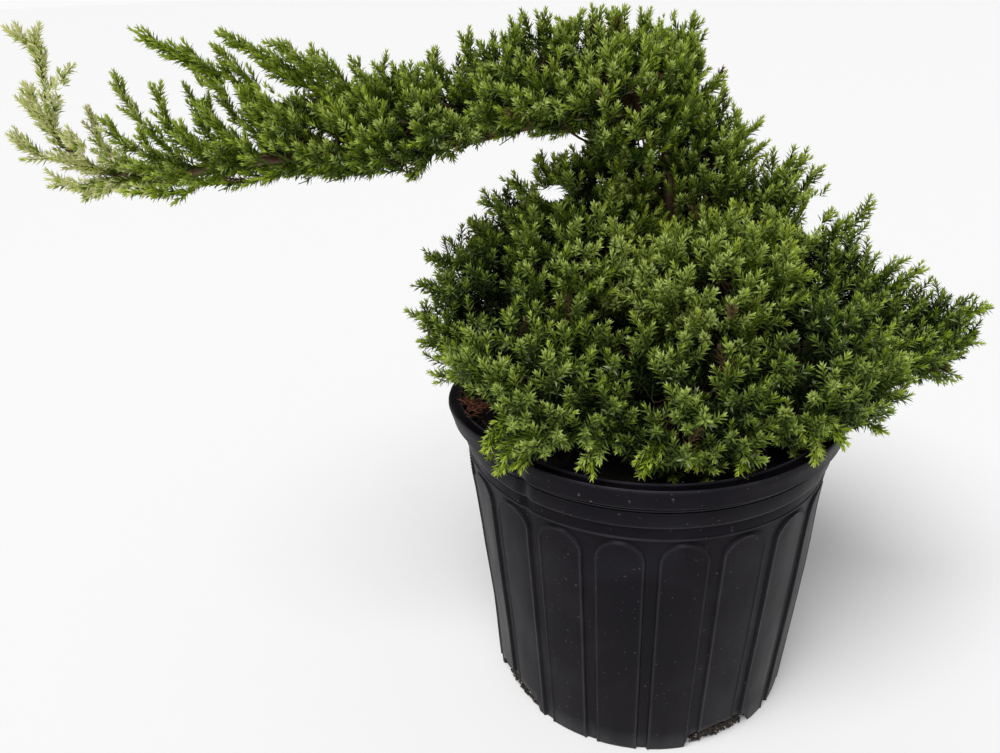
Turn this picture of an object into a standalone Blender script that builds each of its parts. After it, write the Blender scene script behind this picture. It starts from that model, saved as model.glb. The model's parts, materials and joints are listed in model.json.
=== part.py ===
"""Garden juniper trained with one long arm, in a black plastic nursery pot.

Metres, +Z up. The origin is the centre of the pot's flat underside. The arm runs along -X.
Every mass of needles fills its own space: an ellipsoid, cut by a plane towards each neighbour.
"""

import math
import random
from dataclasses import dataclass, field

import bmesh
import bpy
from mathutils import Matrix, Vector

# Pot
POT_HEIGHT = 0.2427
LIP_RADIUS = 0.1380
FOOT_RADIUS = 0.1162
WALL = 0.0024
FLOOR = 0.0032
BAND_HEIGHT = 0.0138
BEAD_DROP = 0.0162
BEAD_HEIGHT = 0.0150
BEAD_RADIUS = 0.1322
RING_DROP = 0.0412
CONE_TOP_RADIUS = 0.1296
PANELS = 20
PANEL_WIDTH = math.radians(14.4)
PANEL_RELIEF = 0.0014
PANEL_START = math.radians(243.6)
RIM_SIDES = 40
ARCH_RISE = 0.0160
ARCH_TOP_DROP = 0.0445
DRAIN_ANGLES = (25, 109, 205, 289)
DRAIN_WIDTH = 0.050
DRAIN_HEIGHT = 0.012

# Soil
SOIL_LEVEL = 0.2222
SOIL_SIDES = 28
SOIL_CLEARANCE = 0.0010

# Wood
GAP = 0.0003
BEND = (0.0025, 0.0000, 0.4495)
BEND_DIRECTION = (-0.7809, 0.0000, 0.6247)
TRUNK_PATH = (
    (0.0220, 0.0120, SOIL_LEVEL + GAP),
    (0.0255, 0.0100, 0.2600),
    (0.0215, 0.0060, 0.3100),
    (0.0145, 0.0040, 0.3700),
    (0.0100, 0.0025, 0.4200),
    (0.0065, 0.0004, 0.4395),
    BEND,
)
TRUNK_FOOT_RADIUS = 0.0090
TRUNK_TOP_RADIUS = 0.0054
ROOT_FLARE = 0.0050
ROOT_FLARE_HEIGHT = 0.0140
ROOT_LOBES = 5
ARM_PATH = (
    tuple(place + GAP * way for place, way in zip(BEND, BEND_DIRECTION, strict=True)),
    (-0.0100, 0.0000, 0.4512),
    (-0.0370, 0.0000, 0.4435),
    (-0.0830, 0.0010, 0.4290),
    (-0.1450, 0.0020, 0.4180),
    (-0.1925, 0.0030, 0.4175),
    (-0.2420, 0.0040, 0.4160),
    (-0.2860, 0.0050, 0.4110),
    (-0.3290, 0.0060, 0.4100),
    (-0.3520, 0.0060, 0.4170),
    (-0.3660, 0.0060, 0.4310),
)
ARM_BASE_RADIUS = 0.0050
ARM_TIP_RADIUS = 0.0017
BOUGH_BASE_RADIUS = 0.0034
BOUGH_TIP_RADIUS = 0.0018
BOUGH_ENTRY = 0.72

# Needles
STEM_RADIUS = 0.0015
TWIG_RADIUS = 0.0021
WHORL_PITCH = 0.0145
MOST_WHORLS = 2
NEEDLE_LENGTH = 0.0108
NEEDLE_LEAN = math.radians(43)
GOLDEN_ANGLE = math.radians(137.508)
EDGE = 1.07
CELL_MARGIN = 0.0004
LIMB_MARGIN = 0.0009
POT_MARGIN = 0.0012

COLOURS = {
    "mound": (0.060, 0.150, 0.028, 1.0),
    "crown": (0.075, 0.185, 0.034, 1.0),
    "skirt": (0.060, 0.150, 0.028, 1.0),
    "head": (0.090, 0.220, 0.040, 1.0),
    "arm": (0.125, 0.260, 0.050, 1.0),
}
BARK = (0.135, 0.070, 0.038, 1.0)
PLASTIC = (0.012, 0.011, 0.013, 1.0)
EARTH = (0.018, 0.011, 0.007, 1.0)


@dataclass
class Mass:
    """One mass of needles with its own space.

    limb and leaves say where its stem starts: at a height of the trunk, at an x of the arm,
    at the arm's tip, or at the tip of a bough that leaves the trunk at that height.
    twigs is how many directions are tried for one.
    core is the core's size as a share of the radii; an open mass has none.
    sweep is the way its twigs lean.
    """

    name: str
    centre: Vector
    radii: Vector
    limb: str
    leaves: float
    twigs: int
    core: float = 0.0
    sweep: Vector = Vector((0.0, 0.0, 0.4))
    planes: list = field(default_factory=list)

    def away(self, direction, share=1.0):
        """Point at a share of the radii from the centre."""
        return self.centre + share * Vector([direction[i] * self.radii[i] for i in range(3)])

    def scaled(self, point):
        """Place in the ellipsoid, 1 long at its surface."""
        return Vector([(point[i] - self.centre[i]) / self.radii[i] for i in range(3)])

    def reach(self, direction):
        """Distance from the centre to the ellipsoid along a direction."""
        return 1.0 / self.scaled(self.centre + direction.normalized()).length

    def gradient(self, point):
        """Outward normal of the ellipsoid through a point."""
        return Vector([(point[i] - self.centre[i]) / self.radii[i] ** 2 for i in range(3)]).normalized()

    def holds(self, point):
        """True where a point lies in the ellipsoid, EDGE of its size, and on this side of every plane."""
        if self.scaled(point).length > EDGE:
            return False
        return all((point - at).dot(normal) < -CELL_MARGIN for at, normal in self.planes)


def mass(name, centre, radii, limb, leaves, twigs, core=0.0, sweep=(0.0, 0.0, 0.4)):
    """Shorthand that turns plain tuples into vectors."""
    return Mass(name, Vector(centre), Vector(radii), limb, leaves, twigs, core, Vector(sweep))


def mound_masses():
    """The spreading mound over the pot: a lower ring, two skirts over the rim, an upper ring."""
    return [
        mass("mound_front", (0.005, -0.088, 0.281), (0.060, 0.056, 0.050), "bough", 0.256, 15, 0.84),
        mass("mound_front_left", (-0.079, -0.070, 0.284), (0.063, 0.062, 0.056), "bough", 0.247, 15, 0.84),
        mass("mound_left", (-0.100, 0.004, 0.304), (0.061, 0.060, 0.062), "bough", 0.258, 15, 0.84),
        mass("mound_back_left", (-0.074, 0.067, 0.320), (0.059, 0.056, 0.058), "bough", 0.243, 14, 0.84),
        mass("mound_back", (0.002, 0.099, 0.290), (0.062, 0.058, 0.054), "bough", 0.257, 14, 0.84),
        mass("mound_back_right", (0.086, 0.074, 0.292), (0.064, 0.058, 0.054), "bough", 0.245, 14, 0.84),
        mass("mound_right", (0.121, 0.002, 0.304), (0.055, 0.054, 0.050), "bough", 0.280, 15, 0.84),
        mass("mound_front_right", (0.078, -0.074, 0.291), (0.058, 0.059, 0.050), "bough", 0.243, 15, 0.84),
        mass("mound_far_right", (0.190, 0.002, 0.272), (0.053, 0.038, 0.032), "bough", 0.255, 15, 0.76,
             (0.5, 0.0, 0.2)),
        mass("skirt_right", (0.156, -0.036, 0.276), (0.041, 0.043, 0.027), "bough", 0.267, 15, 0.76,
             (0.4, -0.2, 0.1)),
        mass("skirt_front_right", (0.114, -0.072, 0.277), (0.038, 0.042, 0.030), "bough", 0.257, 15, 0.76,
             (0.3, -0.3, 0.2)),
        mass("crown_left", (-0.044, -0.008, 0.350), (0.058, 0.055, 0.042), "trunk", 0.318, 14, 0.84),
        mass("crown_front", (0.028, -0.050, 0.343), (0.055, 0.053, 0.043), "trunk", 0.312, 14, 0.84),
        mass("crown_right", (0.072, 0.006, 0.354), (0.044, 0.051, 0.044), "trunk", 0.325, 14, 0.84),
        mass("crown_back", (0.018, 0.058, 0.336), (0.058, 0.052, 0.044), "trunk", 0.315, 14, 0.84),
        mass("crown_sprig", (-0.050, 0.000, 0.390), (0.033, 0.026, 0.020), "trunk", 0.372, 9, 0.0,
             (-0.4, 0.0, 0.5)),
    ]


def head_masses():
    """The tuft round the bend of the trunk."""
    return [
        mass("head_right", (0.028, 0.006, 0.405), (0.036, 0.040, 0.042), "trunk", 0.395, 13, 0.76),
        mass("head_low", (-0.018, 0.004, 0.404), (0.027, 0.030, 0.034), "trunk", 0.400, 12, 0.66),
        mass("head_top", (0.003, 0.003, 0.461), (0.028, 0.034, 0.026), "trunk", 0.440, 13, 0.76),
        mass("head_front", (-0.022, -0.026, 0.452), (0.046, 0.032, 0.034), "arm", -0.016, 13, 0.76),
        mass("head_back", (-0.008, 0.032, 0.446), (0.044, 0.033, 0.036), "arm", -0.016, 13, 0.76),
        mass("head_left", (-0.034, 0.000, 0.461), (0.031, 0.034, 0.030), "arm", -0.030, 13, 0.76),
    ]


def arm_masses():
    """Masses before, behind and above the arm, denser near the trunk, open towards its tip."""
    up = (-0.7, 0.0, 0.5)
    level = (-0.7, 0.0, 0.1)
    return [
        mass("arm_front_1", (-0.082, -0.022, 0.447), (0.048, 0.033, 0.026), "arm", -0.064, 14, 0.76, up),
        mass("arm_back_1", (-0.090, 0.025, 0.446), (0.048, 0.035, 0.031), "arm", -0.070, 14, 0.76, up),
        mass("arm_top_1", (-0.070, 0.001, 0.463), (0.048, 0.032, 0.029), "arm", -0.060, 14, 0.76, up),
        mass("arm_front_2", (-0.158, -0.020, 0.437), (0.048, 0.033, 0.028), "arm", -0.130, 14, 0.76, up),
        mass("arm_back_2", (-0.153, 0.027, 0.435), (0.048, 0.035, 0.031), "arm", -0.134, 14, 0.76, up),
        mass("arm_top_2", (-0.140, 0.003, 0.445), (0.049, 0.032, 0.029), "arm", -0.120, 14, 0.76, up),
        mass("arm_front_3", (-0.214, -0.014, 0.431), (0.044, 0.032, 0.025), "arm", -0.180, 12, 0.64, level),
        mass("arm_back_3", (-0.210, 0.029, 0.427), (0.044, 0.034, 0.029), "arm", -0.186, 12, 0.64, up),
        mass("arm_top_3", (-0.226, 0.004, 0.452), (0.049, 0.028, 0.032), "arm", -0.184, 11, 0.0,
             (-0.8, 0.0, 0.3)),
        mass("arm_front_4", (-0.278, -0.014, 0.428), (0.046, 0.032, 0.026), "arm", -0.244, 10, 0.0, level),
        mass("arm_back_4", (-0.271, 0.026, 0.421), (0.045, 0.034, 0.026), "arm", -0.250, 10, 0.0, up),
        mass("arm_top_4", (-0.277, 0.006, 0.462), (0.036, 0.028, 0.034), "arm", -0.250, 10, 0.0,
             (-0.8, 0.0, 0.5)),
        mass("arm_top_5", (-0.322, 0.003, 0.440), (0.024, 0.024, 0.028), "arm", -0.300, 7, 0.0,
             (-0.5, 0.0, 0.9)),
        mass("arm_end", (-0.342, -0.004, 0.423), (0.042, 0.033, 0.025), "arm", -0.318, 9, 0.0, level),
        mass("arm_hook", (-0.374, 0.005, 0.468), (0.019, 0.018, 0.034), "arm tip", 0.0, 7, 0.0,
             (0.0, 0.0, 1.0)),
    ]


def clear_scene():
    """Start from an empty file."""
    for item in list(bpy.data.objects):
        bpy.data.objects.remove(item, do_unlink=True)
    for mesh in list(bpy.data.meshes):
        bpy.data.meshes.remove(mesh)


def make_material(name, colour, roughness):
    """A plain Principled material."""
    material = bpy.data.materials.new(name)
    material.use_nodes = True
    shader = material.node_tree.nodes["Principled BSDF"]
    shader.inputs["Base Color"].default_value = colour
    shader.inputs["Roughness"].default_value = roughness
    shader.inputs["Metallic"].default_value = 0.0
    material.diffuse_color = colour
    return material


def make_object(name, vertices, faces, material):
    """A mesh object from plain lists."""
    mesh = bpy.data.meshes.new(name)
    mesh.from_pydata([tuple(v) for v in vertices], [], [tuple(f) for f in faces])
    mesh.update()
    mesh.materials.append(material)
    item = bpy.data.objects.new(name, mesh)
    bpy.context.scene.collection.objects.link(item)
    return item


def smooth(item, angle):
    """Round faces shade smooth, edges sharper than the angle stay sharp."""
    item.data.shade_smooth()
    item.data.set_sharp_from_angle(angle=math.radians(angle))


def lathe(rings, sides):
    """Faces between stacked rings of vertices, all with the same number of sides."""
    faces = []
    for row in range(len(rings) - 1):
        for column in range(sides):
            a = row * sides + column
            b = row * sides + (column + 1) % sides
            faces.append((a, b, b + sides, a + sides))
    return faces


def cone_radius(z):
    """Outer radius of the pot's plain cone at a height."""
    top = POT_HEIGHT - RING_DROP
    return FOOT_RADIUS + (CONE_TOP_RADIUS - FOOT_RADIUS) * z / top


def panel_row(z, rise):
    """One ring of the fluted wall. The panels narrow to an arch as rise goes from 0 to 1."""
    pitch = 2 * math.pi / PANELS
    half = PANEL_WIDTH / 2
    inner = half * math.sqrt(max(0.0, 1 - rise**2))
    outer = half + math.radians(0.9)
    arch = outer * math.sqrt(max(0.0, 1 - (0.93 * rise) ** 2))
    ring = []
    for panel in range(PANELS):
        centre = PANEL_START + half + panel * pitch
        lift = PANEL_RELIEF if rise < 1 else 0.0
        for angle, height in ((-arch, 0.0), (-inner * 0.94, lift), (inner * 0.94, lift), (arch, 0.0)):
            radius = cone_radius(z) - PANEL_RELIEF / 2 + height
            ring.append((radius * math.cos(centre + angle), radius * math.sin(centre + angle), z))
    return ring


def plain_row(radius, z):
    """One round ring of the rim or of the inside."""
    turns = (2 * math.pi * side / RIM_SIDES for side in range(RIM_SIDES))
    return [(radius * math.cos(turn), radius * math.sin(turn), z) for turn in turns]


def stitch(lower, upper, lower_start, upper_start):
    """Triangles between two rings with different numbers of corners, matched by angle."""
    def turns(ring):
        angles = [math.atan2(y, x) % (2 * math.pi) for x, y, _ in ring]
        first = angles.index(min(angles))
        order = [(first + k) % len(ring) for k in range(len(ring) + 1)]
        values = [angles[k] for k in order]
        values[-1] += 2 * math.pi
        return order, values

    low, low_turns = turns(lower)
    high, high_turns = turns(upper)
    faces = []
    i = j = 0
    while i < len(lower) or j < len(upper):
        if j == len(upper) or (i < len(lower) and low_turns[i + 1] <= high_turns[j + 1]):
            faces.append((lower_start + low[i], lower_start + low[i + 1], upper_start + high[j]))
            i += 1
        else:
            faces.append((lower_start + low[i], upper_start + high[j + 1], upper_start + high[j]))
            j += 1
    return faces


def build_pot(material):
    """The thin pot: fluted wall, ring, bead, rim band, hem and flat floor, with drain notches at its foot."""
    arch_top = POT_HEIGHT - ARCH_TOP_DROP
    spring = arch_top - ARCH_RISE
    ring_z = POT_HEIGHT - RING_DROP
    bead_top = POT_HEIGHT - BEAD_DROP
    bead_foot = bead_top - BEAD_HEIGHT
    band_foot = POT_HEIGHT - BAND_HEIGHT
    flutes = [panel_row(0.0, 0.0), panel_row(spring, 0.0)]
    flutes += [panel_row(spring + ARCH_RISE * rise, rise) for rise in (0.5, 0.8, 0.95)]
    profile = [
        (cone_radius(arch_top) - PANEL_RELIEF / 2, arch_top + 0.0004),
        (cone_radius(ring_z) + 0.0004, ring_z),
        (CONE_TOP_RADIUS + 0.0004, bead_foot - 0.0008),
        (BEAD_RADIUS, bead_foot),
        (BEAD_RADIUS + 0.0004, bead_top),
        (LIP_RADIUS - 0.0008, band_foot),
        (LIP_RADIUS - 0.0002, POT_HEIGHT - 0.0016),
        (LIP_RADIUS - 0.0012, POT_HEIGHT),
        (LIP_RADIUS - 0.0034, POT_HEIGHT),
        (LIP_RADIUS - 0.0052, band_foot + 0.0040),
        (inner_radius(bead_foot), bead_foot),
        (inner_radius(FLOOR), FLOOR),
    ]
    rims = [plain_row(radius, z) for radius, z in profile]
    sides = len(flutes[0])
    above = len(flutes) * sides
    faces = lathe(flutes, sides)
    faces += stitch(flutes[-1], rims[0], above - sides, above)
    faces += [tuple(corner + above for corner in face) for face in lathe(rims, RIM_SIDES)]
    faces.append(tuple(reversed(range(sides))))
    last = above + (len(rims) - 1) * RIM_SIDES
    faces.append(tuple(last + column for column in range(RIM_SIDES)))
    pot = make_object("pot", [point for ring in flutes + rims for point in ring], faces, material)
    for number, degrees in enumerate(DRAIN_ANGLES, 1):
        cut_drain(pot, number, math.radians(degrees))
    smooth(pot, 28)
    return pot


def inner_radius(z):
    """Radius of the pot's inside at a height."""
    return cone_radius(z) - PANEL_RELIEF / 2 - WALL


def cut_drain(pot, number, angle):
    """An arched notch through the wall at the foot."""
    depth = 0.020
    half = DRAIN_WIDTH / 2
    steps = 5
    profile = [(-half, -0.004)]
    for step in range(steps + 1):
        turn = math.pi * step / steps
        profile.append((-half * math.cos(turn), 0.0035 + (DRAIN_HEIGHT - 0.0035) * math.sin(turn)))
    profile.append((half, -0.004))
    count = len(profile)
    vertices = [(radius, side, z) for radius in (0.0, depth) for side, z in profile]
    faces = [tuple(range(count)), tuple(reversed(range(count, 2 * count)))]
    for index in range(count):
        after = (index + 1) % count
        faces.append((after, index, index + count, after + count))
    cutter = make_object(f"drain_cutter_{number}", vertices, faces, pot.data.materials[0])
    place = Matrix.Rotation(angle, 4, "Z") @ Matrix.Translation((inner_radius(0.0) - 0.0060, 0.0, 0.0))
    cutter.data.transform(place)
    cutter.hide_render = True
    cutter.display_type = "WIRE"
    cut = pot.modifiers.new(f"drain {number}", "BOOLEAN")
    cut.operation = "DIFFERENCE"
    cut.solver = "EXACT"
    cut.object = cutter


def build_soil(material):
    """The fill of the pot: one turned solid, a little uneven on top."""
    noise = random.Random(5)
    profile = [(inner_radius(FLOOR) - SOIL_CLEARANCE, FLOOR + GAP)]
    profile.append((inner_radius(SOIL_LEVEL) - 2 * SOIL_CLEARANCE, SOIL_LEVEL - 0.004))
    profile.append((0.105, SOIL_LEVEL - 0.001))
    profile.append((0.070, SOIL_LEVEL - 0.001))
    profile.append((0.040, SOIL_LEVEL))
    vertices = []
    for row, (radius, z) in enumerate(profile):
        for side in range(SOIL_SIDES):
            angle = 2 * math.pi * side / SOIL_SIDES
            bump = noise.uniform(-0.0025, 0.0012) if row in (1, 2, 3) else 0.0
            vertices.append((radius * math.cos(angle), radius * math.sin(angle), z + bump))
    faces = lathe(profile, SOIL_SIDES)
    faces.append(tuple(reversed(range(SOIL_SIDES))))
    last = (len(profile) - 1) * SOIL_SIDES
    faces.append(tuple(last + side for side in range(SOIL_SIDES)))
    return make_object("soil", vertices, faces, material)


def smooth_path(points, per_span):
    """Catmull-Rom curve through a few points."""
    knots = [Vector(p) for p in points]
    knots = [2 * knots[0] - knots[1], *knots, 2 * knots[-1] - knots[-2]]
    path = []
    for index in range(1, len(knots) - 2):
        a, b, c, d = knots[index - 1 : index + 3]
        for step in range(per_span):
            t = step / per_span
            path.append(0.5 * (2 * b + (c - a) * t + (2 * a - 5 * b + 4 * c - d) * t**2
                               + (3 * b - a - 3 * c + d) * t**3))
    path.append(knots[-2])
    return path


def tangents(path, first=None, last=None):
    """Unit direction of a path at each of its points. The first and the last may be given."""
    result = []
    for index in range(len(path)):
        before = path[max(index - 1, 0)]
        after = path[min(index + 1, len(path) - 1)]
        result.append((after - before).normalized())
    if first:
        result[0] = first
    if last:
        result[-1] = last
    return result


def frames(path, first=None, last=None):
    """Two side directions at each point of a path, carried along it without twist."""
    directions = tangents(path, first, last)
    side = directions[0].orthogonal().normalized()
    result = []
    for direction in directions:
        side = (side - direction * side.dot(direction)).normalized()
        result.append((side, direction.cross(side)))
    return result


def tube(path, radii, sides, first=None, last=None, flare=None):
    """Closed tapering tube with flat ends, each square to its given direction or to the path."""
    vertices = []
    for index, (centre, (side, other)) in enumerate(zip(path, frames(path, first, last), strict=True)):
        for corner in range(sides):
            angle = 2 * math.pi * corner / sides
            radius = radii[index] + (flare(index, angle) if flare else 0.0)
            vertices.append(centre + radius * (math.cos(angle) * side + math.sin(angle) * other))
    faces = lathe(path, sides)
    faces.append(tuple(reversed(range(sides))))
    end = (len(path) - 1) * sides
    faces.append(tuple(end + corner for corner in range(sides)))
    return vertices, faces


class Limb:
    """A tapering limb: its path and the radius at each point, used to keep masses clear of it."""

    def __init__(self, path, start_radius, end_radius, extra=None):
        self.path = path
        spans = [0.0]
        for a, b in zip(path, path[1:], strict=False):
            spans.append(spans[-1] + (b - a).length)
        self.spans = spans
        self.radii = [start_radius + (end_radius - start_radius) * s / spans[-1] for s in spans]
        if extra:
            self.radii = [radius + extra(self.path[i]) for i, radius in enumerate(self.radii)]

    def clearance(self, point):
        """Distance from a point to the limb's surface."""
        best = 1.0
        for a, b, radius in zip(self.path, self.path[1:], self.radii, strict=False):
            along = b - a
            t = max(0.0, min(1.0, (point - a).dot(along) / along.length_squared))
            best = min(best, (point - a - along * t).length - radius)
        return best

    def nearest(self, point):
        """Nearest point of the path, and the radius there."""
        best = (1.0, None, 0.0)
        for a, b, radius in zip(self.path, self.path[1:], self.radii, strict=False):
            along = b - a
            t = max(0.0, min(1.0, (point - a).dot(along) / along.length_squared))
            found = ((point - a - along * t).length, a + along * t, radius)
            best = min(best, found, key=lambda item: item[0])
        return best[1], best[2]

    def skin(self, pitch):
        """Points round the limb, a little outside its surface, and along its middle."""
        for index, (side, other) in enumerate(frames(self.path)[:-1]):
            along = self.path[index + 1] - self.path[index]
            steps = max(1, round(along.length / pitch))
            for step in range(steps + 1):
                middle = self.path[index] + along * step / steps
                yield middle
                for corner in range(6):
                    angle = math.pi * corner / 3
                    around = math.cos(angle) * side + math.sin(angle) * other
                    yield middle + around * (self.radii[index] + LIMB_MARGIN)

    def at(self, axis, value):
        """Point, direction and radius where the path crosses a coordinate value."""
        for index in range(len(self.path) - 1):
            a, b = self.path[index], self.path[index + 1]
            if (a[axis] - value) * (b[axis] - value) <= 0:
                t = (value - a[axis]) / (b[axis] - a[axis])
                return a.lerp(b, t), (b - a).normalized(), self.radii[index]
        return self.path[-1], tangents(self.path)[-1], self.radii[-1]


def root_swell(point):
    """Extra radius of the trunk near the soil."""
    height = point.z - SOIL_LEVEL
    return ROOT_FLARE * max(0.0, 1 - height / ROOT_FLARE_HEIGHT) ** 2


def trunk_path():
    """Path of the trunk, with two rings close to the soil for the root flare."""
    path = smooth_path(TRUNK_PATH, 2)
    foot, above = path[0], path[1]
    return [foot, foot.lerp(above, 0.25), foot.lerp(above, 0.6), *path[1:]]


def build_trunk(material):
    """The trunk, cut flat at soil level, with a lobed root flare."""
    limb = Limb(trunk_path(), TRUNK_FOOT_RADIUS, TRUNK_TOP_RADIUS, root_swell)

    def lobes(index, angle):
        return root_swell(limb.path[index]) * 0.28 * (math.cos(ROOT_LOBES * angle) - 1)

    vertices, faces = tube(limb.path, limb.radii, 10, last=Vector(BEND_DIRECTION), flare=lobes)
    for corner in range(10):
        vertices[corner].z = SOIL_LEVEL + GAP
    item = make_object("trunk", vertices, faces, material)
    smooth(item, 50)
    return limb


def build_arm(material):
    """The long arm beyond the bend. Its first face is parallel to the trunk's last."""
    limb = Limb(smooth_path(ARM_PATH, 2), ARM_BASE_RADIUS, ARM_TIP_RADIUS)
    vertices, faces = tube(limb.path, limb.radii, 8, Vector(BEND_DIRECTION))
    item = make_object("arm", vertices, faces, material)
    smooth(item, 50)
    return limb


def off_limb(limb, axis, value, toward):
    """Where something leaves a limb: a point just clear of its side, and the outward direction."""
    point, direction, radius = limb.at(axis, value)
    out = toward - point
    out = (out - direction * out.dot(direction)).normalized()
    return point + out * (radius + GAP), out


def bezier(start, middle, end, shares):
    """Points at some shares of the curve that leaves start towards middle and ends at end."""
    return [(1 - t) ** 2 * start + 2 * t * (1 - t) * middle + t**2 * end for t in shares]


def build_bough(mass, trunk, material):
    """One tapering bough from the trunk to where it enters its mass."""
    start, out = off_limb(trunk, 2, mass.leaves, mass.centre)
    inward = (start - mass.centre).normalized()
    end = mass.centre + inward * mass.reach(inward) * BOUGH_ENTRY
    first = start + out * (end - start).length * 0.45
    limb = Limb(bezier(start, first, end, (0.0, 0.1, 0.35, 0.65, 1.0)), BOUGH_BASE_RADIUS, BOUGH_TIP_RADIUS)
    vertices, faces = tube(limb.path, limb.radii, 5, out)
    item = make_object(f"bough_{mass.name}", vertices, faces, material)
    smooth(item, 50)
    return limb


def part_spaces(masses):
    """Give each pair of neighbours a plane between them."""
    for index, one in enumerate(masses):
        for other in masses[index + 1 :]:
            between = other.centre - one.centre
            if between.length > max(one.radii) + max(other.radii):
                continue
            first = one.reach(between)
            second = other.reach(between)
            at = one.centre + between * (first / (first + second))
            normal = (one.gradient(at) - other.gradient(at)).normalized()
            one.planes.append((at, normal))
            other.planes.append((at, -normal))


def part_from_limbs(masses, limbs):
    """Keep each cored mass on its own side of the limbs that pass close to it."""
    for mass in masses:
        for limb in limbs if mass.core else []:
            at, radius = limb.nearest(mass.centre)
            if (at - mass.centre).length < max(mass.radii) + radius:
                normal = (at - mass.centre).normalized()
                mass.planes.append((at - normal * (radius + LIMB_MARGIN), normal))


def clear_of_pot(point):
    """True where a point is clear of the pot's wall and of the soil."""
    radius = math.hypot(point.x, point.y)
    if point.z > POT_HEIGHT + POT_MARGIN:
        return True
    if radius < LIP_RADIUS - 0.0065:
        return point.z > SOIL_LEVEL + POT_MARGIN
    return radius > LIP_RADIUS + POT_MARGIN and point.z > 0.05


def samples(vertices, faces):
    """Corners, edge middles and face middles of a small mesh."""
    for vertex in vertices:
        yield vertex
    for face in faces:
        corners = [vertices[i] for i in face]
        yield sum(corners, Vector()) / len(corners)
        for a, b in zip(corners, corners[1:] + corners[:1], strict=True):
            yield (a + b) / 2
            yield a.lerp(b, 0.25)
            yield a.lerp(b, 0.75)


def fits(mass, limbs, vertices, faces):
    """True where a twig stays in its space, clear of every limb and of the pot."""
    if not all(mass.holds(v) for v in vertices):
        return False
    for point in samples(vertices, faces):
        if not clear_of_pot(point):
            return False
        for limb in limbs:
            if limb.clearance(point) < LIMB_MARGIN:
                return False
    return True


def spray(start, middle, end, bare, whorls, radius, rule, out=None):
    """A closed twig with whorls of three needles standing out of it beyond its bare foot."""
    turn = rule.uniform(0, math.pi)
    needle = min(NEEDLE_LENGTH, 0.62 * (end - start).length)
    step = (0.94 - bare[-1]) / whorls
    path = bezier(start, middle, end, [*bare, *(bare[-1] + step * (k + 1) for k in range(whorls))])
    vertices = []
    faces = []
    for index, (centre, (side, other)) in enumerate(zip(path, frames(path, out), strict=True)):
        size = radius * (1 - 0.55 * index / len(path))
        for corner in range(3):
            angle = turn + index * math.pi / 3 + corner * 2 * math.pi / 3
            vertices.append(centre + size * (math.cos(angle) * side + math.sin(angle) * other))
    directions = tangents(path)
    faces.append((2, 1, 0))
    for index in range(len(path) - 1):
        low = index * 3
        high = low + 3
        for corner in range(3):
            after = (corner + 1) % 3
            upright = (low + corner, low + after, high + corner)
            hanging = (low + after, high + after, high + corner)
            for facet in (upright, hanging):
                if index < len(bare) - 1 or facet == hanging:
                    faces.append(facet)
                    continue
                a, b, c = (vertices[i] for i in facet)
                normal = (b - a).cross(c - a).normalized()
                lean = normal * math.sin(NEEDLE_LEAN) + directions[index] * math.cos(NEEDLE_LEAN)
                vertices.append((a + b + c) / 3 + lean.normalized() * needle)
                apex = len(vertices) - 1
                for first, second in zip(facet, facet[1:] + facet[:1], strict=True):
                    faces.append((first, second, apex))
    vertices.append(end)
    tip = len(vertices) - 1
    last = (len(path) - 1) * 3
    for corner in range(3):
        faces.append((last + corner, last + (corner + 1) % 3, tip))
    return vertices, faces


def even_direction(number, turn, sweep):
    """One of a series of directions spread evenly round a point, leaning with the sweep."""
    height = 1 - 2 * ((number * 0.618034 + 0.31) % 1.0)
    angle = number * GOLDEN_ANGLE + turn
    ring = math.sqrt(1 - height**2)
    direction = Vector((ring * math.cos(angle), ring * math.sin(angle), height))
    return (direction + 0.5 * sweep).normalized()


def grow_mass(mass, limbs, start, out):
    """Stem, core and twigs of one mass, as closed shapes that overlap at their roots."""
    rule = random.Random(mass.name)
    if mass.core:
        heart = mass.centre + mass.sweep * 0.002
        path = bezier(start, start + out * (heart - start).length * 0.4, heart, (0.0, 0.12, 0.5, 1.0))
        shapes = [tube(path, [STEM_RADIUS] * len(path), 4, out), core_shape(mass, limbs, rule)]
    else:
        path, stem = open_stem(mass, limbs, start, out, rule)
        shapes = [stem]
    turn = rule.uniform(0, math.pi)
    directions = [even_direction(number, turn, mass.sweep) for number in range(mass.twigs)]
    directions.sort(key=lambda direction: direction.dot(mass.sweep))
    for number, direction in enumerate(directions):
        share = (number + 0.5) / mass.twigs
        twig = grow_twig(mass, limbs, rule, path, share, direction)
        if twig:
            shapes.append(twig)
    return shapes


def open_stem(mass, limbs, start, out, rule):
    """The stem of an open mass, led to the far edge of its space and clear of the limbs."""
    for lean in (0.2, 0.4, 0.7, 1.0, 1.5, 2.0):
        heart = edge_point(mass, (mass.sweep.normalized() + lean * out).normalized(), 0.93)
        middle = start + out * 0.4 * (heart - start).length
        vertices, faces = spray(start, middle, heart, (0.0, 0.1, 0.3, 0.6), 2, STEM_RADIUS, rule, out)
        free = [v for v in samples(vertices, faces) if (v - start).length > 0.004]
        if all(limb.clearance(v) > LIMB_MARGIN for limb in limbs for v in free):
            break
    return bezier(start, middle, heart, [step / 8 for step in range(9)]), (vertices, faces)


def edge_point(mass, direction, most):
    """Point near the edge of the space along a direction."""
    share = most
    while share > 0.3 and not mass.holds(mass.away(direction, share + 0.03)):
        share -= 0.03
    return mass.away(direction, share)


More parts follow.
